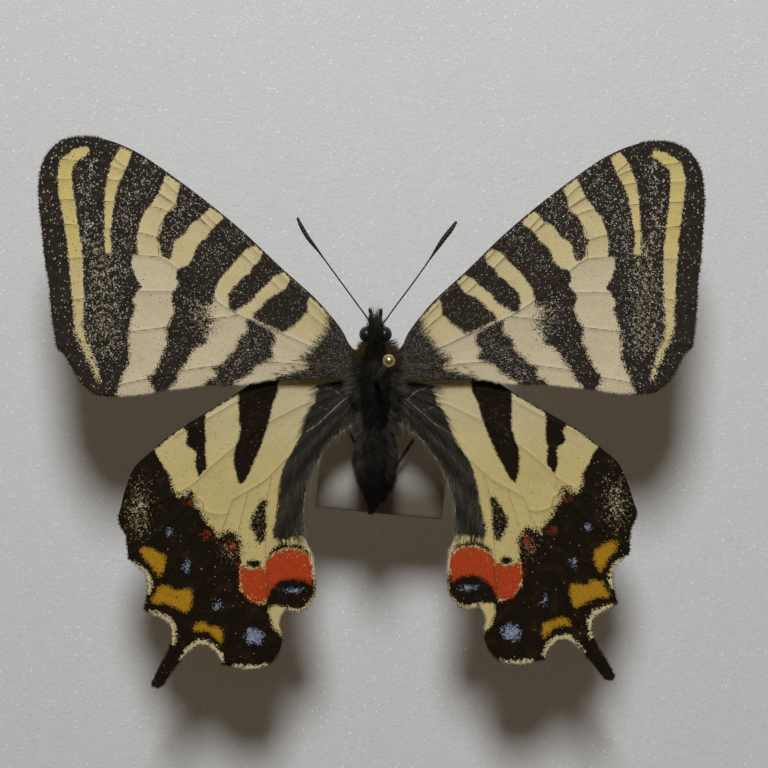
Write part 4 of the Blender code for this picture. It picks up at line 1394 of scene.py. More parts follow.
    SKY = ((18.65, -14.0, 0.45, 0.75, 0.5), (17.1, -17.1, 0.6, 0.8, 0.42),
           (14.35, -20.6, 0.6, 0.8, 0.42), (11.0, -23.5, 1.15, 1.05, 0.85),
           (7.35, -19.25, 1.45, 0.42, 0.55))
    TAWNY = ((21.4, -11.9), (1.0, 1.9))
    RUSSET = ((13.1, -15.5), (0.9, 1.0))
    GILT = ((21.8, -13.0), (0.8, 0.8))
    INNER_DOWN = (
        (2.0, -0.6), (5.3, -0.6), (5.1, -1.0), (5.4, -1.5), (5.5, -2.4), (5.9, -2.8), (6.4, -4.0),
        (6.7, -5.0), (7.2, -6.1), (7.9, -7.2), (8.4, -8.3), (8.6, -9.5), (8.8, -11.0),
        (9.1, -13.0), (9.3, -14.3), (8.3, -14.6), (6.6, -14.3), (5.9, -14.0), (5.5, -9.0),
        (2.0, -5.0))
    ROOT_STREAKS = (
        ((2.1, -1.55), (2.8, -1.95), (4.1, -3.1), (5.1, -4.05), (6.2, -4.85)),
        ((2.9, -1.8), (3.7, -1.1), (4.3, -0.95), (5.0, -0.5)),
        ((4.2, -2.85), (4.8, -2.7), (5.5, -2.5)),
    )
    INNER_WISPS = (
        (2.0, -3.4), (3.3, -4.5), (4.5, -5.8), (5.6, -7.6), (6.6, -9.8), (7.0, -12.0),
        (6.9, -14.0), (6.3, -14.0), (6.3, -11.4), (5.9, -9.6), (5.0, -7.6), (3.9, -5.9),
        (2.9, -5.0), (2.0, -4.4))

    def marks(self, wing: Wing) -> dict[str, Array]:
        """Marks the bars, rim spots and downy inner part.

        Args:
            wing: The plan.

        Returns:
            The values at each point of the plan.
        """
        plan = wing.plan
        dark = deepest(plan, [np.asarray(self.OUTER_DARK), ribbon(self.ARC),
                              *rounded(self.DARK_BARS, 0.15)])
        rims = deepest(plan, map(ribbon, self.PALE_RIM)) - 0.05
        pale = np.maximum(rims, deepest(plan, rounded([self.NOTCH], 0.15)))
        front = self.front_edge - path_distance(plan, wing.curves[0][1])
        dark = np.maximum(np.minimum(dark, -pale), front)
        sky = np.full(len(plan), -FAR)
        for out, fore, wide, deep, share in self.SKY:
            off = oval(plan, (out, fore), (wide, deep))
            sky = np.maximum(sky, np.clip((1.0 - off) * share, -FAR, 1.0))
        down = depth_in(plan, smooth_curve(self.INNER_DOWN, 0.2, True), 2.0)
        tawny = np.exp(-oval(plan, *self.TAWNY) ** 2)
        russet = np.exp(-oval(plan, *self.RUSSET) ** 2)
        sprinkle = np.maximum.reduce([
            -share - 0.4 * np.clip(oval(plan, (out, fore), (wide, deep)) - 0.5, 0.0, 2.0)
            for out, fore, wide, deep, share in self.SPRINKLED])
        gilt = -0.13 - 0.3 * np.clip(oval(plan, *self.GILT) - 0.5, 0.0, 2.0)
        streaks = np.minimum.reduce([path_distance(plan, smooth_curve(path, 0.2))
                                     for path in self.ROOT_STREAKS])
        return {
            "mark": np.clip(dark, -FAR, FAR),
            "warm": (0.8 * smooth_step(-1.0, -10.0, plan[:, 1]) + 0.2 * tawny)
            * smooth_step(0.1, -0.5, rims),
            "fuzz": 0.6 + 0.5 * smooth_step(-9.0, -11.0, plan[:, 1])
            + 0.9 * near_path(plan, ((18.3, -9.8), (15.0, -12.8), (12.6, -14.5)), 1.2),
            "dust": 0.002 + 0.005 * smooth_step(-9.0, -6.0, plan[:, 1])
            + 0.4 * tawny + 0.25 * russet
            + 0.12 * near_path(plan, ((10.4, -11.2), (10.6, -14.6)), 0.7),
            "fleck": 0.001 + 0.1 * tawny
            + 0.02 * near_path(plan, ((14.8, -16.0), (13.9, -19.0)), 1.2),
            "vein": np.where(down > -0.1, streaks, wing.vein),
            "soot": 0.005 + 0.3 * russet,
            "red": np.maximum(deepest(plan, rounded(self.RED, 0.15)), sprinkle) - 0.02,
            "gold": np.maximum(deepest(plan, rounded(self.GOLD, 0.15)), gilt) - 0.02,
            "sky": sky,
            "fur": np.clip(down, -1.0, 1.0),
        }

    def coats(self, wing: Wing, pose: WingPose, seed: int) -> list[Tufts]:
        """The dark hair on one wing's inner part, and pale wisps along its inner rim.

        Args:
            wing: The plan.
            pose: The side and set of the wing.
            seed: The start of the random numbers.

        Returns:
            The hair and the wisps.
        """
        area, wisps = np.asarray(self.INNER_DOWN), np.asarray(self.INNER_WISPS)
        return [wing.down(pose, area, 1300, (0.8, 1.7), (0.03, 0.5), seed, 0.05),
                wing.down(pose, wisps, 300, (0.8, 1.9), (0.4, 1.4), seed + 2, 0.07)]


# Body


@dataclass
class Trunk:
    """Head, thorax and abdomen as one skin, with the coat's roots on it.

    A station is (y, half width, half height, middle x, middle z). At a turn t about the
    body the skin stands at half width and half height times the cosine and sine of t,
    each raised to 2 over the superellipse's exponent.
    """

    velvet: Material
    coat: Material
    stations: Points = (
        (-12.4, 0.08, 0.1, -0.5, 24.77), (-12.0, 0.24, 0.28, -0.42, 24.87),
        (-11.0, 0.6, 0.62, -0.14, 25.1), (-9.6, 1.05, 1.0, 0.06, 25.45),
        (-8.0, 1.5, 1.28, 0.0, 25.75), (-6.4, 1.66, 1.38, -0.05, 26.0),
        (-5.0, 1.4, 1.34, 0.0, 26.2), (-4.1, 1.1, 1.32, 0.0, 26.3),
        (-3.4, 1.22, 1.55, 0.0, 26.35), (-2.2, 1.36, 1.95, 0.0, 26.4),
        (-0.6, 1.45, 2.1, 0.0, 26.45), (0.9, 1.42, 1.98, 0.0, 26.5), (1.9, 1.25, 1.6, 0.0, 26.5),
        (2.6, 0.86, 1.1, 0.0, 26.45), (3.2, 0.72, 0.92, 0.0, 26.5), (4.2, 0.72, 0.84, 0.0, 26.5),
        (4.8, 0.5, 0.6, 0.0, 26.5), (5.1, 0.2, 0.25, 0.0, 26.5))
    exponent: float = 2.3
    sides: int = 96

    def __post_init__(self) -> None:
        """Smooths the stations."""
        self.rows = smooth_curve(self.stations, 0.06)

    def at(self, y: Array, turn: Array) -> Array:
        """The skin's points at these places along the body and turns about it.

        Args:
            y: Places along the body.
            turn: Turns about it, in radians from the right.

        Returns:
            The points, along a new last axis.
        """
        wide, high, x, z = (np.interp(y, self.rows[:, 0], self.rows[:, k]) for k in (1, 2, 3, 4))
        c, s = np.cos(turn), np.sin(turn)
        power = 2.0 / self.exponent
        return np.stack([x + wide * np.sign(c) * np.abs(c) ** power, y + 0.0 * c,
                         z + high * np.sign(s) * np.abs(s) ** power], -1)

    def normal(self, y: Array, turn: Array) -> Array:
        """The way out of the skin, from two small steps along it.

        Args:
            y: Places along the body.
            turn: Turns about it.

        Returns:
            Vectors of length one.
        """
        small = 1e-3
        along = self.at(y + small, turn) - self.at(y - small, turn)
        about = self.at(y, turn + small) - self.at(y, turn - small)
        return unit(np.cross(along, about))

    def skin(self) -> Shape:
        """Draws in the abdomen's rings where they meet.

        Returns:
            The skin's shape.
        """
        y = self.rows[:, :1]
        turn = -np.linspace(0.0, 2.0 * math.pi, self.sides, endpoint=False)[None, :]
        rings = self.at(y + 0.0 * turn, turn + 0.0 * y)
        pinch = np.where(self.rows[:, 0] < -4.6, 0.05, 0.0)
        pinch = pinch * np.exp(-(((self.rows[:, 0] * 0.95) % 1.0 - 0.5) / 0.16) ** 2)
        middle = rings.mean(1, keepdims=True)
        return ring_shape(middle + (rings - middle) * (1.0 - pinch)[:, None, None])

    def hair(self, count: int, along: Span, about: Span, lengths: Span, tones: Span, seed: int,
             way: Triple = (0.0, -1.0, 0.0), stand: float = 0.45, warm: float = 0.0,
             sweep: float = 0.35, radius: float = 0.024, fade: Span = (-30.0, -20.0)) -> Tufts:
        """Hair on part of the skin, lying one way.

        Args:
            count: The number of hairs.
            along: The part of the body, as its least and greatest y.
            about: The least and greatest turn, in parts of a whole turn from the right side.
            lengths: The shortest and longest hair.
            tones: The darkest and palest tone.
            seed: The start of the random numbers.
            way: The way that the hair lies.
            stand: How far it stands off the skin at its root.
            warm: How tawny it is.
            sweep: How far it spreads to its own side.
            radius: The hair's radius at its root.
            fade: The places along the body between which it turns from black to its tone.

        Returns:
            The hair.
        """
        rng = np.random.default_rng(seed)
        soft = 1.0 if about[1] - about[0] > 0.9 else 1.7
        y = along[0] + (along[1] - along[0]) * rng.beta(soft, soft, count)
        turn = 2.0 * math.pi * (about[0] + (about[1] - about[0]) * rng.beta(soft, soft, count))
        out = self.normal(y, turn)
        roots = self.at(y, turn) - 0.02 * out
        aside = out * [1.0, 0.0, 0.6]
        lie = unit(np.asarray(way, float) + sweep * aside + rng.normal(0.0, 0.14, (count, 3)))
        streak = 0.5 + 0.25 * np.sin(turn * 9.0 + np.sin(y * 1.7) * 2.0 + seed)
        streak = streak + 0.25 * np.sin(y * 2.9 + turn * 2.0)
        tone = tones[0] + (tones[1] - tones[0]) * streak * rng.uniform(0.2, 1.0, count)
        tone = tone * smooth_step(*fade, y)
        chart = np.column_stack([0.02 + 0.96 * (turn / (2.0 * math.pi) % 1.0),
                                 0.02 + 0.96 * (y + 13.0) / 19.0])
        return Tufts(roots, unit(stand * out + lie), lie - 0.1 * out,
                     rng.uniform(*lengths, count), chart, tone,
                     warm * rng.uniform(0.0, 1.0, count) ** 0.7, radius=radius)

    def flanks(self, count: int, along: Span, about: Span, lengths: Span, tones: Span,
               seeds: tuple[int, int], way: Triple = (0.0, -1.0, 0.0),
               **more: float | Span) -> list[Tufts]:
        """Hair on the right flank, and on the left one mirrored.

        Args:
            count: The number of hairs on each side.
            along: The part of the body, as its least and greatest y.
            about: The least and greatest turn on the right, in parts of a whole turn.
            lengths: The shortest and longest hair.
            tones: The darkest and palest tone.
            seeds: The starts of the random numbers, right and left.
            way: The way that the hair lies on the right.
            **more: What else ``hair`` is given.

        Returns:
            The hair of each side.
        """
        left_about, left_way = (0.5 - about[1], 0.5 - about[0]), (-way[0], way[1], way[2])
        return [self.hair(count, along, about, lengths, tones, seeds[0], way, **more),
                self.hair(count, along, left_about, lengths, tones, seeds[1], left_way, **more)]

    def build(self) -> None:
        """Makes the skin and its coat."""
        self.skin().piece("trunk_skin", self.velvet, "body_hair", "head", "thorax", "abdomen")
        rear = (-9.6, -6.8)
        coats = {
            "thorax_coat": [
                self.hair(4600, (-3.9, 2.3), (0.0, 1.0), (0.45, 0.95), (0.0, 0.05), 31, stand=0.3),
                self.hair(900, (-3.4, 1.9), (0.55, 0.95), (0.8, 1.3), (0.02, 0.2), 32, stand=0.7),
            ],
            "abdomen_coat": [
                self.hair(3600, (-10.8, -3.6), (0.0, 1.0), (0.6, 1.1), (0.0, 0.22), 33,
                          stand=0.25, sweep=0.2, fade=rear, radius=0.02),
                self.hair(1500, (-12.1, -9.6), (0.0, 1.0), (0.3, 0.5), (0.0, 0.05), 44,
                          stand=0.1, sweep=0.0, radius=0.02),
                *self.flanks(1400, (-9.8, -3.8), (-0.12, 0.16), (0.8, 1.3), (0.08, 0.5), (34, 35),
                             stand=0.4, fade=rear, radius=0.018, warm=0.1),
            ],
            "head_coat": [
                self.hair(1700, (2.3, 4.9), (0.06, 0.44), (0.3, 0.6), (0.0, 0.12), 36,
                          way=(0.0, 0.5, 0.5), stand=0.4, sweep=0.1),
                self.hair(420, (3.7, 5.0), (0.12, 0.38), (0.3, 1.6), (0.0, 0.4), 37,
                          way=(0.0, 1.0, 0.0), stand=0.15, sweep=0.3, radius=0.015, warm=0.15),
                self.hair(60, (4.3, 5.0), (0.15, 0.35), (1.2, 2.4), (0.1, 0.5), 45,
                          way=(0.0, 1.0, 0.05), stand=0.1, sweep=0.25, radius=0.014),
                self.hair(900, (2.5, 5.0), (0.5, 1.0), (0.4, 0.8), (0.0, 0.16), 38,
                          way=(0.0, 0.6, -0.5), stand=0.6),
            ],
            "collar_coat": [
                self.hair(1300, (1.7, 3.3), (-0.02, 0.52), (0.4, 0.75), (0.0, 0.1), 43,
                          way=(0.0, -0.3, 0.3), stand=0.5, warm=0.08, sweep=0.5),
                self.hair(900, (1.1, 3.2), (0.36, 0.54), (0.5, 1.15), (0.0, 0.1), 39,
                          way=(-0.8, 0.2, 0.3), stand=0.4, warm=1.0, sweep=0.1, radius=0.02),
                self.hair(1000, (0.6, 3.3), (-0.05, 0.14), (0.7, 1.7), (0.1, 0.5), 40,
                          way=(0.8, 0.2, 0.3), stand=0.4, warm=0.8, sweep=0.1, radius=0.02),
            ],
            "shoulder_coat": [
                *self.flanks(1100, (-3.6, 1.9), (-0.04, 0.13), (0.6, 1.3), (0.0, 0.4), (41, 42),
                             (1.0, -0.35, 0.0), stand=0.3, radius=0.02),
                *self.flanks(240, (-1.4, 0.8), (-0.02, 0.08), (1.1, 2.1), (0.4, 1.1), (46, 47),
                             (1.0, -0.3, 0.3), stand=0.4, radius=0.018, sweep=0.1),
                *self.flanks(700, (-4.8, -2.6), (-0.05, 0.12), (0.7, 1.4), (0.2, 0.9), (44, 45),
                             (0.7, -0.8, 0.0), stand=0.4, radius=0.018),
            ],
        }
        for name, parts in coats.items():
            together([part.shape() for part in parts]).piece(name, self.coat, "body_hair")


@dataclass
class Face:
    """Eyes, palps and the coiled tongue."""

    facets: Material
    cuticle: Material
    coat: Material
    eye_middle: Triple = (0.83, 3.95, 26.55)
    eye_radii: Triple = (0.65, 0.72, 0.8)
    palp: Points = ((0.43, 4.6, 25.1), (0.44, 5.1, 24.95), (0.46, 5.75, 25.2), (0.48, 6.2, 25.75))
    tongue_middle: Triple = (0.0, 3.7, 24.28)
    tongue_turns: float = 2.6
    palp_hairs: int = 240

    def eye(self, side: float) -> Shape:
        """One eye: rings across a line from the head outwards, their radius as an ellipse's.

        Args:
            side: Minus one for the left and one for the right.

        Returns:
            The eye's shape.
        """
        share = np.cos(np.linspace(math.pi, 0.0, 30))[1:-1]
        x, y, z = self.eye_middle
        path = np.column_stack([side * (x + self.eye_radii[0] * share), np.full(28, y),
                                np.full(28, z)])
        radii = self.eye_radii[1] * np.sqrt(1.0 - share ** 2)
        return ring_shape(tube_rings(path, radii, 40, flat=self.eye_radii[2] / self.eye_radii[1]))

    def palp_shape(self, side: float) -> Shape:
        """One palp, three joints long, tapering to its tip.

        Args:
            side: Minus one for the left and one for the right.

        Returns:
            The palp's shape.
        """
        path = smooth_curve([(side * x, y, z) for x, y, z in self.palp], 0.05)
        share = np.linspace(0.0, 1.0, len(path))
        radii = (0.13 - 0.06 * share) * (1.0 - 0.2 * np.exp(-((share - 0.38) / 0.05) ** 2)
                                         - 0.2 * np.exp(-((share - 0.75) / 0.05) ** 2))
        radii[[0, -1]] *= 0.4
        return ring_shape(tube_rings(path, radii, 16))

    def palp_hair(self, side: float, seed: int) -> Tufts:
        """Bristly hair round one palp.

        Args:
            side: Minus one for the left and one for the right.
            seed: The start of the random numbers.

        Returns:
            The hair.
        """
        rng, count = np.random.default_rng(seed), self.palp_hairs
        path = smooth_curve([(side * x, y, z) for x, y, z in self.palp], 0.01)
        pick = rng.integers(0, len(path), count)
        along = unit(np.gradient(path, axis=0))[pick]
        out = unit(np.cross(along, rng.normal(size=(count, 3))))
        chart = np.column_stack([rng.uniform(0.05, 0.95, count), 0.05 + 0.9 * pick / len(path)])
        return Tufts(path[pick] + 0.08 * out, along + 0.6 * out, along,
                     rng.uniform(0.15, 0.5, count), chart, rng.uniform(0.0, 0.25, count))

    def tongue(self) -> Shape:
        """A tube along a flat spiral whose radius shrinks as it turns inwards.

        Returns:
            The tongue's shape.
        """
        turn = np.linspace(0.0, self.tongue_turns * 2.0 * math.pi, 260)
        share = turn / turn[-1]
        radius = 0.72 - 0.5 * share
        angle = math.pi / 2.0 - turn
        path = np.column_stack([0.02 * np.sin(turn), np.cos(angle) * radius,
                                np.sin(angle) * radius]) + self.tongue_middle
        radii = 0.1 - 0.045 * share
        radii[[0, -1]] *= 0.4
        return ring_shape(tube_rings(path, radii, 12, up=(1.0, 0.0, 0.0)))

    def build(self) -> None:
        """Makes the parts of the face on both sides."""
        for name, side, seed in (("left", -1.0, 51), ("right", 1.0, 52)):
            self.eye(side).piece(f"eye_{name}_faceted", self.facets, "eye", f"eye_{name}")
            self.palp_shape(side).piece(f"palp_{name}_jointed", self.cuticle, "body_hair",
                                        f"palp_{name}")
            self.palp_hair(side, seed).shape().piece(f"palp_{name}_coat", self.coat, "body_hair")
        self.tongue().piece("tongue_coil", self.cuticle, "feeler", "proboscis")


@dataclass
class Antennae:
    """Two ringed feelers that swell to a club near the tip."""

    cuticle: Material
    left: Points = ((-0.42, 4.75, 27.25), (-0.7, 5.35, 28.0), (-1.55, 6.5, 28.25),
                    (-3.2, 8.75, 28.6), (-5.0, 11.2, 29.0), (-6.0, 12.5, 29.2),
                    (-6.6, 13.5, 29.3), (-7.0, 14.35, 29.4))
    right: Points = ((0.42, 4.75, 27.25), (0.84, 5.1, 27.9), (1.63, 6.2, 28.2), (3.43, 8.6, 28.6),
                     (4.84, 10.6, 28.95), (6.0, 12.3, 29.2), (6.7, 13.2, 29.3), (7.26, 14.0, 29.4))
    shaft: float = 0.068
    clubs: Span = (0.2, 0.235)
    joint: float = 0.36

    def feeler(self, knots: Points, club: float) -> Shape:
        """One feeler: the radius is the shaft's, plus the club's swell, less each joint's neck.

        Args:
            knots: The knots of its middle line.
            club: The club's radius.

        Returns:
            The feeler's shape.
        """
        path = smooth_curve(knots, 0.03)
        far = np.linspace(0.0, 1.0, len(path))
        length = 0.03 * (len(path) - 1)
        swell = smooth_step(0.6, 0.84, far) ** 1.25 * (1.0 - smooth_step(0.9, 1.03, far) * 0.75)
        radii = self.shaft + (club - self.shaft) * swell
        radii = radii + 0.1 * np.exp(-(far * length / 0.22) ** 4)
        neck = np.exp(-(((far * length / self.joint) % 1.0 - 0.5) / 0.13) ** 2)
        radii = radii * (1.0 - 0.16 * neck)
        tip = np.clip((1.0 - far) * length / 0.16, 0.0, 1.0)
        radii = radii * np.sqrt(np.maximum(1.0 - (1.0 - tip) ** 2, 0.02))
        return ring_shape(tube_rings(path, radii, 14))

    def build(self) -> None:
        """Makes both feelers."""
        for name, knots, club in (("left", self.left, self.clubs[0]),
                                  ("right", self.right, self.clubs[1])):
            self.feeler(knots, club).piece(f"antenna_{name}_ringed", self.cuticle, "feeler",
                                           f"antenna_{name}")


@dataclass
class Legs:
    """Six thin folded legs: thigh, shin and a five-jointed foot with two claws."""

    cuticle: Material
    coat: Material
    paths: dict[str, Points] = field(default_factory=lambda: {
        "fore_left": ((-1.0, 1.4, 24.75), (-1.95, 2.5, 23.5), (-1.6, 0.7, 22.6),
                      (-1.45, -0.9, 22.1)),
        "fore_right": ((1.0, 1.4, 24.75), (1.95, 2.5, 23.5), (1.6, 0.7, 22.6), (1.35, -0.9, 22.1)),
        "mid_left": ((-1.1, -0.4, 24.5), (-2.75, 0.1, 23.5), (-2.65, -2.4, 22.6),
                     (-2.3, -4.2, 22.2)),
        "mid_right": ((1.1, -0.4, 24.5), (2.75, 0.1, 23.5), (2.6, -2.4, 22.6), (2.1, -4.2, 22.2)),
        "hind_left": ((-1.0, -2.2, 24.5), (-2.7, -4.2, 23.5), (-1.4, -7.2, 22.6),
                      (-0.9, -8.8, 22.2)),
        "hind_right": ((1.0, -2.2, 24.5), (4.3, -4.4, 23.5), (2.05, -7.8, 22.6),
                       (1.3, -9.2, 22.2)),
    })

    @staticmethod
    def limb(start: Array, end: Array, thick: float, thin: float, joints: int) -> Shape:
        """One limb part: a straight tube that tapers and narrows at each of its joints.

        Args:
            start: Its upper end.
            end: Its lower end.
            thick: The upper radius.
            thin: The lower radius.
            joints: The number of its joints.

        Returns:
            The part's shape.
        """
        share = np.linspace(0.0, 1.0, 10 + 8 * joints)
        path = start + (end - start) * share[:, None]
        radii = (thick + (thin - thick) * share) * (1.0 - 0.28 * np.cos(
            2.0 * math.pi * joints * share) ** 8)
        radii[[0, -1]] *= 0.45
        return ring_shape(tube_rings(path, radii, 12, up=(0.33, 0.21, 0.92)))

    def leg(self, knots: Points) -> Shape:
        """One whole leg.

        Args:
            knots: Root, knee, ankle and toe.

        Returns:
            The leg's shape.
        """
        root, knee, ankle, toe = (np.asarray(k) for k in knots)
        parts = [self.limb(root, knee, 0.24, 0.17, 1), self.limb(knee, ankle, 0.19, 0.16, 1),
                 self.limb(ankle, toe, 0.11, 0.08, 5)]
        ahead = unit(toe - ankle)
        for side in (-1.0, 1.0):
            path = smooth_curve([toe, toe + 0.16 * ahead + [side * 0.09, 0.0, 0.0],
                                 toe + 0.24 * ahead + [side * 0.1, 0.0, -0.1]], 0.03)
            radii = np.linspace(0.04, 0.01, len(path))
            parts.append(ring_shape(tube_rings(path, radii, 8, up=(0.3, 0.1, 0.9))))
        return together(parts)

    def bristles(self, knots: Points, seed: int) -> Tufts:
        """Short hair along the thigh and fine spines along the shin.

        Args:
            knots: Root, knee, ankle and toe.
            seed: The start of the random numbers.

        Returns:
            The hair.
        """
        rng = np.random.default_rng(seed)
        knee = [np.asarray(k) for k in knots]
        parts = []
        for start, end, count in ((knee[0], knee[1], 200), (knee[1], knee[2], 140),
                                  (knee[2], knee[3], 60)):
            share = rng.uniform(0.05, 0.97, count)
            along = unit(end - start)
            out = unit(np.cross(along, rng.normal(size=(count, 3))))
            parts.append((start + (end - start) * share[:, None] + 0.09 * out,
                          along + 0.5 * out, np.tile(along, (count, 1))))
        roots, heads, leans = (np.vstack(column) for column in zip(*parts))
        count = len(roots)
        chart = np.column_stack([rng.uniform(0.05, 0.95, count), rng.uniform(0.05, 0.95, count)])
        return Tufts(roots, heads, leans, rng.uniform(0.2, 0.5, count), chart,
                     rng.uniform(0.05, 0.4, count), 0.1, radius=0.017)

    def build(self) -> None:
        """Makes the six legs and their hair."""
        coats = []
        for seed, (name, knots) in enumerate(self.paths.items(), 61):
            self.leg(knots).piece(f"leg_{name}_jointed", self.cuticle, "leg", f"leg_{name}")
            coats.append(self.bristles(knots, seed).shape())
        together(coats).piece("leg_coat", self.coat, "leg")


# Mount


def pin_axis(z: Array) -> Array:
    """Points on the pin's middle line at these heights."""
    return PIN_ENTRY + (np.asarray(z, float)[..., None] - PIN_ENTRY[2]) * PIN_LEAN


@dataclass
class Pin:
    """A leaning steel pin with a ball head of brass."""

    metal: Material
    radius: float = 0.225
    tip_z: float = 3.0
    head_z: float = 40.0
    head_radius: float = 0.55
    point: float = 2.2

    def build(self) -> None:
        """Makes the pin as rings along its line: point, shaft, ball."""
        shaft_z = np.r_[self.tip_z + self.point * np.linspace(0.0, 1.0, 12) ** 1.3,
                        np.linspace(self.tip_z + self.point + 0.5, self.head_z - 0.62, 60)]
        shaft = self.radius * np.clip((shaft_z - self.tip_z) / self.point, 0.03, 1.0) ** 0.8
        turn = np.linspace(-math.pi / 2 + 0.44, math.pi / 2, 26)
        length = float(np.linalg.norm(PIN_LEAN))
        ball_z = self.head_z + self.head_radius * np.sin(turn) / length
        ball = np.maximum(self.head_radius * np.cos(turn), 0.01)
        z = np.r_[shaft_z, ball_z]
        brass = np.r_[np.zeros(len(shaft_z)), np.ones(len(ball_z))]
        rings = tube_rings(pin_axis(z), np.r_[shaft, ball], 28, up=(1.0, 0.0, 0.0))
        ring_shape(rings, brass=brass).piece("pin_turned", self.metal, "pin_steel", "pin")


class Card(Enum):
    """The two flat things that the pin goes through."""

    LABEL = "label"
    BOARD = "board"


@dataclass
class Mount:
    """The foam board and the label, each as rings about the pin's hole.

    A ring at share s runs from the hole's circle, s = 0, to the card's rim, s = 1; its
    points are the circle's and the rim's, weighed 1 - s and s.
    """

    foam: Material
    paper: Material
    label_size: Span = (11.8, 12.7)
    label_middle: Span = (0.9, -6.2)
    label_turn: float = math.radians(-5.85)
    label_low: float = 20.6
    label_thick: float = 0.2
    label_hole: float = 0.235
    board_hole: float = 0.26
    board_round: float = 0.5
    board_edge: float = 0.7
    dimple: float = 0.22
    columns: int = 320

    def rim(self, card: Card, shrink: float = 0.0) -> Array:
        """The card's outline, a rounded rectangle in even steps, as (x, y) rows.

        Args:
            card: The label or the board.
            shrink: How far the outline is drawn in.

        Returns:
            The outline.
        """
        if card is Card.LABEL:
            size, middle = np.asarray(self.label_size), np.asarray(self.label_middle)
            turn, corner = self.label_turn, 0.25
        else:
            size, middle = np.full(2, BOARD_SIDE), -SPECIMEN_SHIFT[:2]
            turn, corner = 0.0, 0.6
        half = size / 2.0 - corner
        arcs = np.linspace(0.0, math.pi / 2.0, 5)
        points = []
        for k, (sx, sy) in enumerate(((1, 1), (-1, 1), (-1, -1), (1, -1))):
            angle = arcs + k * math.pi / 2.0
            points.append(np.column_stack([sx * half[0] + (corner - shrink) * np.cos(angle),
                                           sy * half[1] + (corner - shrink) * np.sin(angle)]))
        even = evenly(np.vstack(points + [points[0][:1]]), count=self.columns + 1)[:-1]
        spin = np.array([[math.cos(turn), -math.sin(turn)], [math.sin(turn), math.cos(turn)]])
        return even @ spin.T + middle

    def curl(self, points: Array) -> Array:
        """How far the label bends down to its rear edge, and most to its rear right corner.

        Both bends are squares of how far a point is past a line across the label.

        Args:
            points: The points, one a row.

        Returns:
            One height a point, zero or less.
        """
        off = (points - np.asarray(self.label_middle)) / (np.asarray(self.label_size) / 2.0)
        rear = np.clip(-off[..., 1] - 0.3, 0.0, 1.0) ** 2
        corner = np.clip(off[..., 0] - off[..., 1] - 0.7, 0.0, 2.0) ** 2
        return -0.5 * rear - 0.3 * corner

    def rings(self, card: Card, shares: Array, z: Array, radii: Array, shrink: Array) -> Array:
        """Rings of points for rows of (share, height, hole radius, rim shrink).

        Args:
            card: The label or the board.
            shares: Each ring's share, hole to rim.
            z: Each ring's height.
            radii: The hole's radius at each ring.
            shrink: How far each ring's rim is drawn in.

        Returns:
            The rings.
        """
        rows = []
        for share, height, radius, less in zip(shares, z, radii, shrink):
            rim = self.rim(card, less)
            middle = pin_axis(np.array([height]))[0, :2]
            away = rim - middle
            angle = np.arctan2(away[:, 1], away[:, 0])
            hole = middle + radius * np.column_stack([np.cos(angle), np.sin(angle)])
            flat = (1.0 - share) * hole + share * rim
            lift = self.curl(flat) if card is Card.LABEL else 0.0
            rows.append(np.column_stack([flat, np.full(len(flat), height) + lift]))
        return np.array(rows)

    def board(self) -> Shape:
        """Rings up the pin's hole, over the top, round the rim and under.

        Returns:
            The board's shape.
        """
        low, high = self.board_edge, BOARD_TOP - self.board_edge
        hole, small = self.board_hole, self.board_round
        spread = np.linspace(0.0, 1.0, 110) ** 1.6
        bend = np.linspace(0.0, math.pi / 2.0, 6)[1:]
        drawn, dropped = small * (1.0 - np.sin(bend)), small * (1.0 - np.cos(bend))
        stretches = (
            (0.0, np.linspace(2.9, BOARD_TOP - 0.4, 6), np.r_[0.05, np.full(5, 0.24)], 0.0),
            (spread, BOARD_TOP - self.dimple * np.exp(-(spread * BOARD_SIDE) ** 2), hole, small),
            (1.0, BOARD_TOP - dropped, hole, drawn),
            (1.0, np.linspace(high, low, 8), hole, 0.0),
            (1.0, drawn, hole, dropped),
            (np.linspace(1.0, 0.02, 40)[1:], 0.0, hole, small),
        )
        rows = [np.broadcast_arrays(*stretch) for stretch in stretches]
        columns = (np.concatenate(column) for column in zip(*rows))
        return ring_shape(self.rings(Card.BOARD, *columns)[:, ::-1])

    def label(self) -> Shape:
        """Rings over the top from the pin's hole to the rim, and back under.

        Returns:
            The label's shape.
        """
        out = np.linspace(0.0, 1.0, 36)
        shares = np.r_[out, np.linspace(1.0, 0.0, 36)]
        z = np.repeat([self.label_low + self.label_thick, self.label_low], len(out))
        rings = self.rings(Card.LABEL, shares, z, np.full(len(z), self.label_hole),
                           np.zeros(len(z)))[:, ::-1]
        rows, columns = rings.shape[:2]
        closed = np.concatenate([rings, rings[:1]])
        faces = grid_faces(rows + 1, columns, True) % (rows * columns)
        points = closed[:rows].reshape(-1, 3)
        off = (points[:, :2] - self.label_middle) / (np.asarray(self.label_size) / 2.0)
        # Painted shade on the label: more towards its rear edge and slightly towards its right
        # side.
        painted_shade = np.clip(0.1 * off[:, 0] - 1.3 * off[:, 1] - 0.2, 0.0, 1.3)
        return Shape(points, [faces], [], {"painted_shade": painted_shade})

    def build(self) -> None:
        """Makes the board and the label."""
        self.board().piece("board_foam", self.foam, "foam", "board")
        self.label().piece("label_card", self.paper, "paper", "label")


# Stage


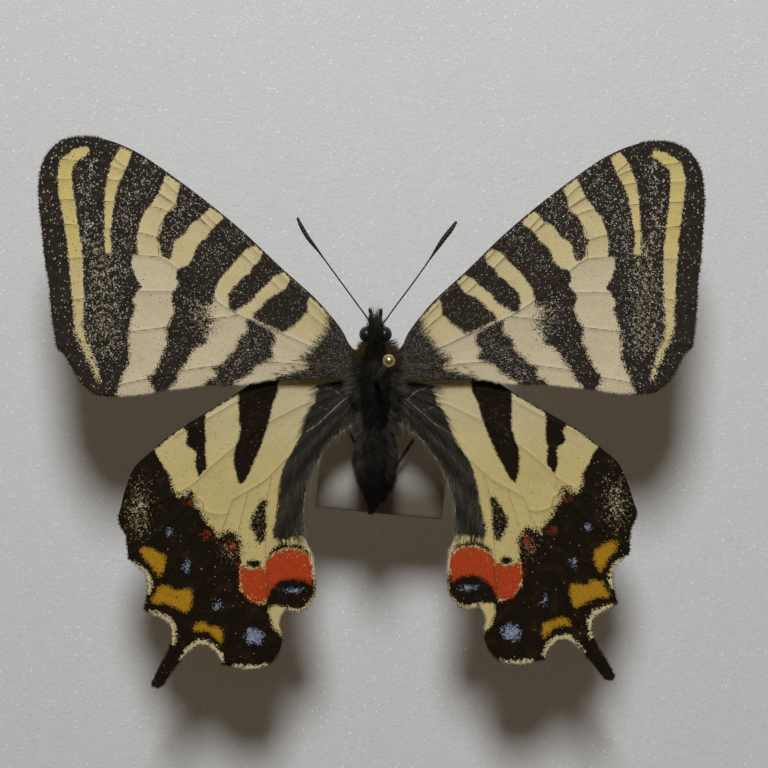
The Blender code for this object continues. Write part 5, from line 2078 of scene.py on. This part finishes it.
@dataclass(frozen=True)
class Studio:
    """Camera, lights and a plain pale floor."""

    camera_height: float = 277.6
    lens: float = 130.2
    key_distance: float = 500.0
    key_size: Span = (112.0, 150.0)
    key_energy: float = 1.8
    key_lean: float = math.radians(31.0)
    key_side: float = -0.012
    key_colour: Colour = (0.955, 0.99, 1.0)
    sky: float = 0.092
    low_sky: float = 0.6
    sky_colour: Colour = (1.0, 0.78, 0.56)
    floor_rings: tuple[float, ...] = (0.02, 0.5, 2.0, 8.0)
    floor_sides: int = 64

    def build(self) -> None:
        """Sets the camera straight above, one soft lamp beyond the head, and the sky."""
        scene = bpy.context.scene
        camera = bpy.data.cameras.new("camera")
        camera.lens = self.lens
        camera.clip_start, camera.clip_end = 0.01, 10.0
        eye = bpy.data.objects.new("camera", camera)
        eye.location = (0.0, 0.0, self.camera_height * MM)
        scene.collection.objects.link(eye)
        scene.camera = eye
        key = bpy.data.lights.new("key", "AREA")
        key.shape = "ELLIPSE"
        key.size, key.size_y = (side * MM for side in self.key_size)
        key.energy = self.key_energy
        key.color = self.key_colour
        lamp = bpy.data.objects.new("key", key)
        way = Vector((self.key_side, math.sin(self.key_lean), math.cos(self.key_lean))).normalized()
        lamp.location = way * self.key_distance * MM
        lamp.rotation_euler = way.to_track_quat("Z", "Y").to_euler()
        scene.collection.objects.link(lamp)
        world = bpy.data.worlds.new("sky")
        world.use_nodes = True
        self.paint_sky(world.node_tree)
        scene.world = world
        scene.view_settings.view_transform = "Standard"
        self.floor()

    def paint_sky(self, tree: bpy.types.NodeTree) -> None:
        """A dim warm sky that turns pale in a low band above the floor.

        Args:
            tree: The world's nodes.
        """
        way = tree.nodes.new("ShaderNodeTexCoord").outputs["Generated"]
        parts = tree.nodes.new("ShaderNodeSeparateXYZ")
        tree.links.new(way, parts.inputs[0])
        band = tree.nodes.new("ShaderNodeMapRange")
        band.interpolation_type = "SMOOTHSTEP"
        tree.links.new(parts.outputs[2], band.inputs["Value"])
        for name, value in (("From Min", 0.06), ("From Max", 0.3), ("To Min", self.low_sky),
                            ("To Max", self.sky)):
            band.inputs[name].default_value = value
        light = tree.nodes["Background"]
        light.inputs["Color"].default_value = (*self.sky_colour, 1.0)
        tree.links.new(band.outputs["Result"], light.inputs["Strength"])

    def floor(self) -> None:
        """A wide pale floor under the board, as one disc of rings."""
        sides = self.floor_sides
        turn = np.linspace(0.0, 2.0 * math.pi, sides, endpoint=False)
        ring = np.column_stack([np.cos(turn), np.sin(turn), np.zeros(sides)])
        points = np.vstack([[0.0, 0.0, 0.0]] + [ring * radius for radius in self.floor_rings])
        fan = [(0, 1 + i, 1 + (i + 1) % sides) for i in range(sides)]
        bands = (grid_faces(len(self.floor_rings), sides, True) + 1)[:, ::-1].tolist()
        mesh = bpy.data.meshes.new("floor")
        mesh.from_pydata(points.tolist(), [], fan + bands)
        r = Recipe("floor_paint")
        r.finish(r.mix(r.noise(40.0), (0.7, 0.71, 0.71), (0.74, 0.745, 0.745)), 0.8)
        mesh.materials.append(r.material)
        floor = bpy.data.objects.new("floor", mesh)
        bpy.context.scene.collection.objects.link(floor)


def main() -> None:
    """Builds the specimen, its mount and the studio."""
    logging.basicConfig(level=logging.INFO, format="%(name)s: %(message)s")
    hair = Hair().build()
    black = Cuticle("black_cuticle").build()
    velvet = Cuticle("velvet_skin", (0.004, 0.0035, 0.003), (0.01, 0.009, 0.007), 0.7,
                     specular=0.15).build()
    brown = Cuticle("brown_cuticle", (0.02, 0.016, 0.012), (0.06, 0.05, 0.038), 0.5).build()
    Studio().build()
    Mount(FoamSkin().build(), LabelPaper().build()).build()
    Pin(PinMetal().build()).build()
    fore = WingScales("forewing_scales", (0.62, 0.52, 0.35), (0.62, 0.49, 0.16), False)
    hind = WingScales("hindwing_scales", (0.6, 0.5, 0.29), (0.58, 0.46, 0.175), True,
                      dark=(0.005, 0.003, 0.001), dark_brown=(0.014, 0.008, 0.003),
                      red=(0.46, 0.055, 0.012), silver=(0.36, 0.3, 0.17),
                      fur=(0.024, 0.021, 0.016), fur_streak=(0.065, 0.06, 0.048),
                      fur_vein=(0.34, 0.33, 0.29), umber=(0.027, 0.014, 0.005),
                      vein_share=0.4)
    Forewings(fore.build(), hair).build()
    Hindwings(hind.build(), hair).build()
    Trunk(velvet, hair).build()
    Face(CompoundEye().build(), black, hair).build()
    Antennae(black).build()
    Legs(brown, hair).build()


if __name__ == "__main__":
    main()
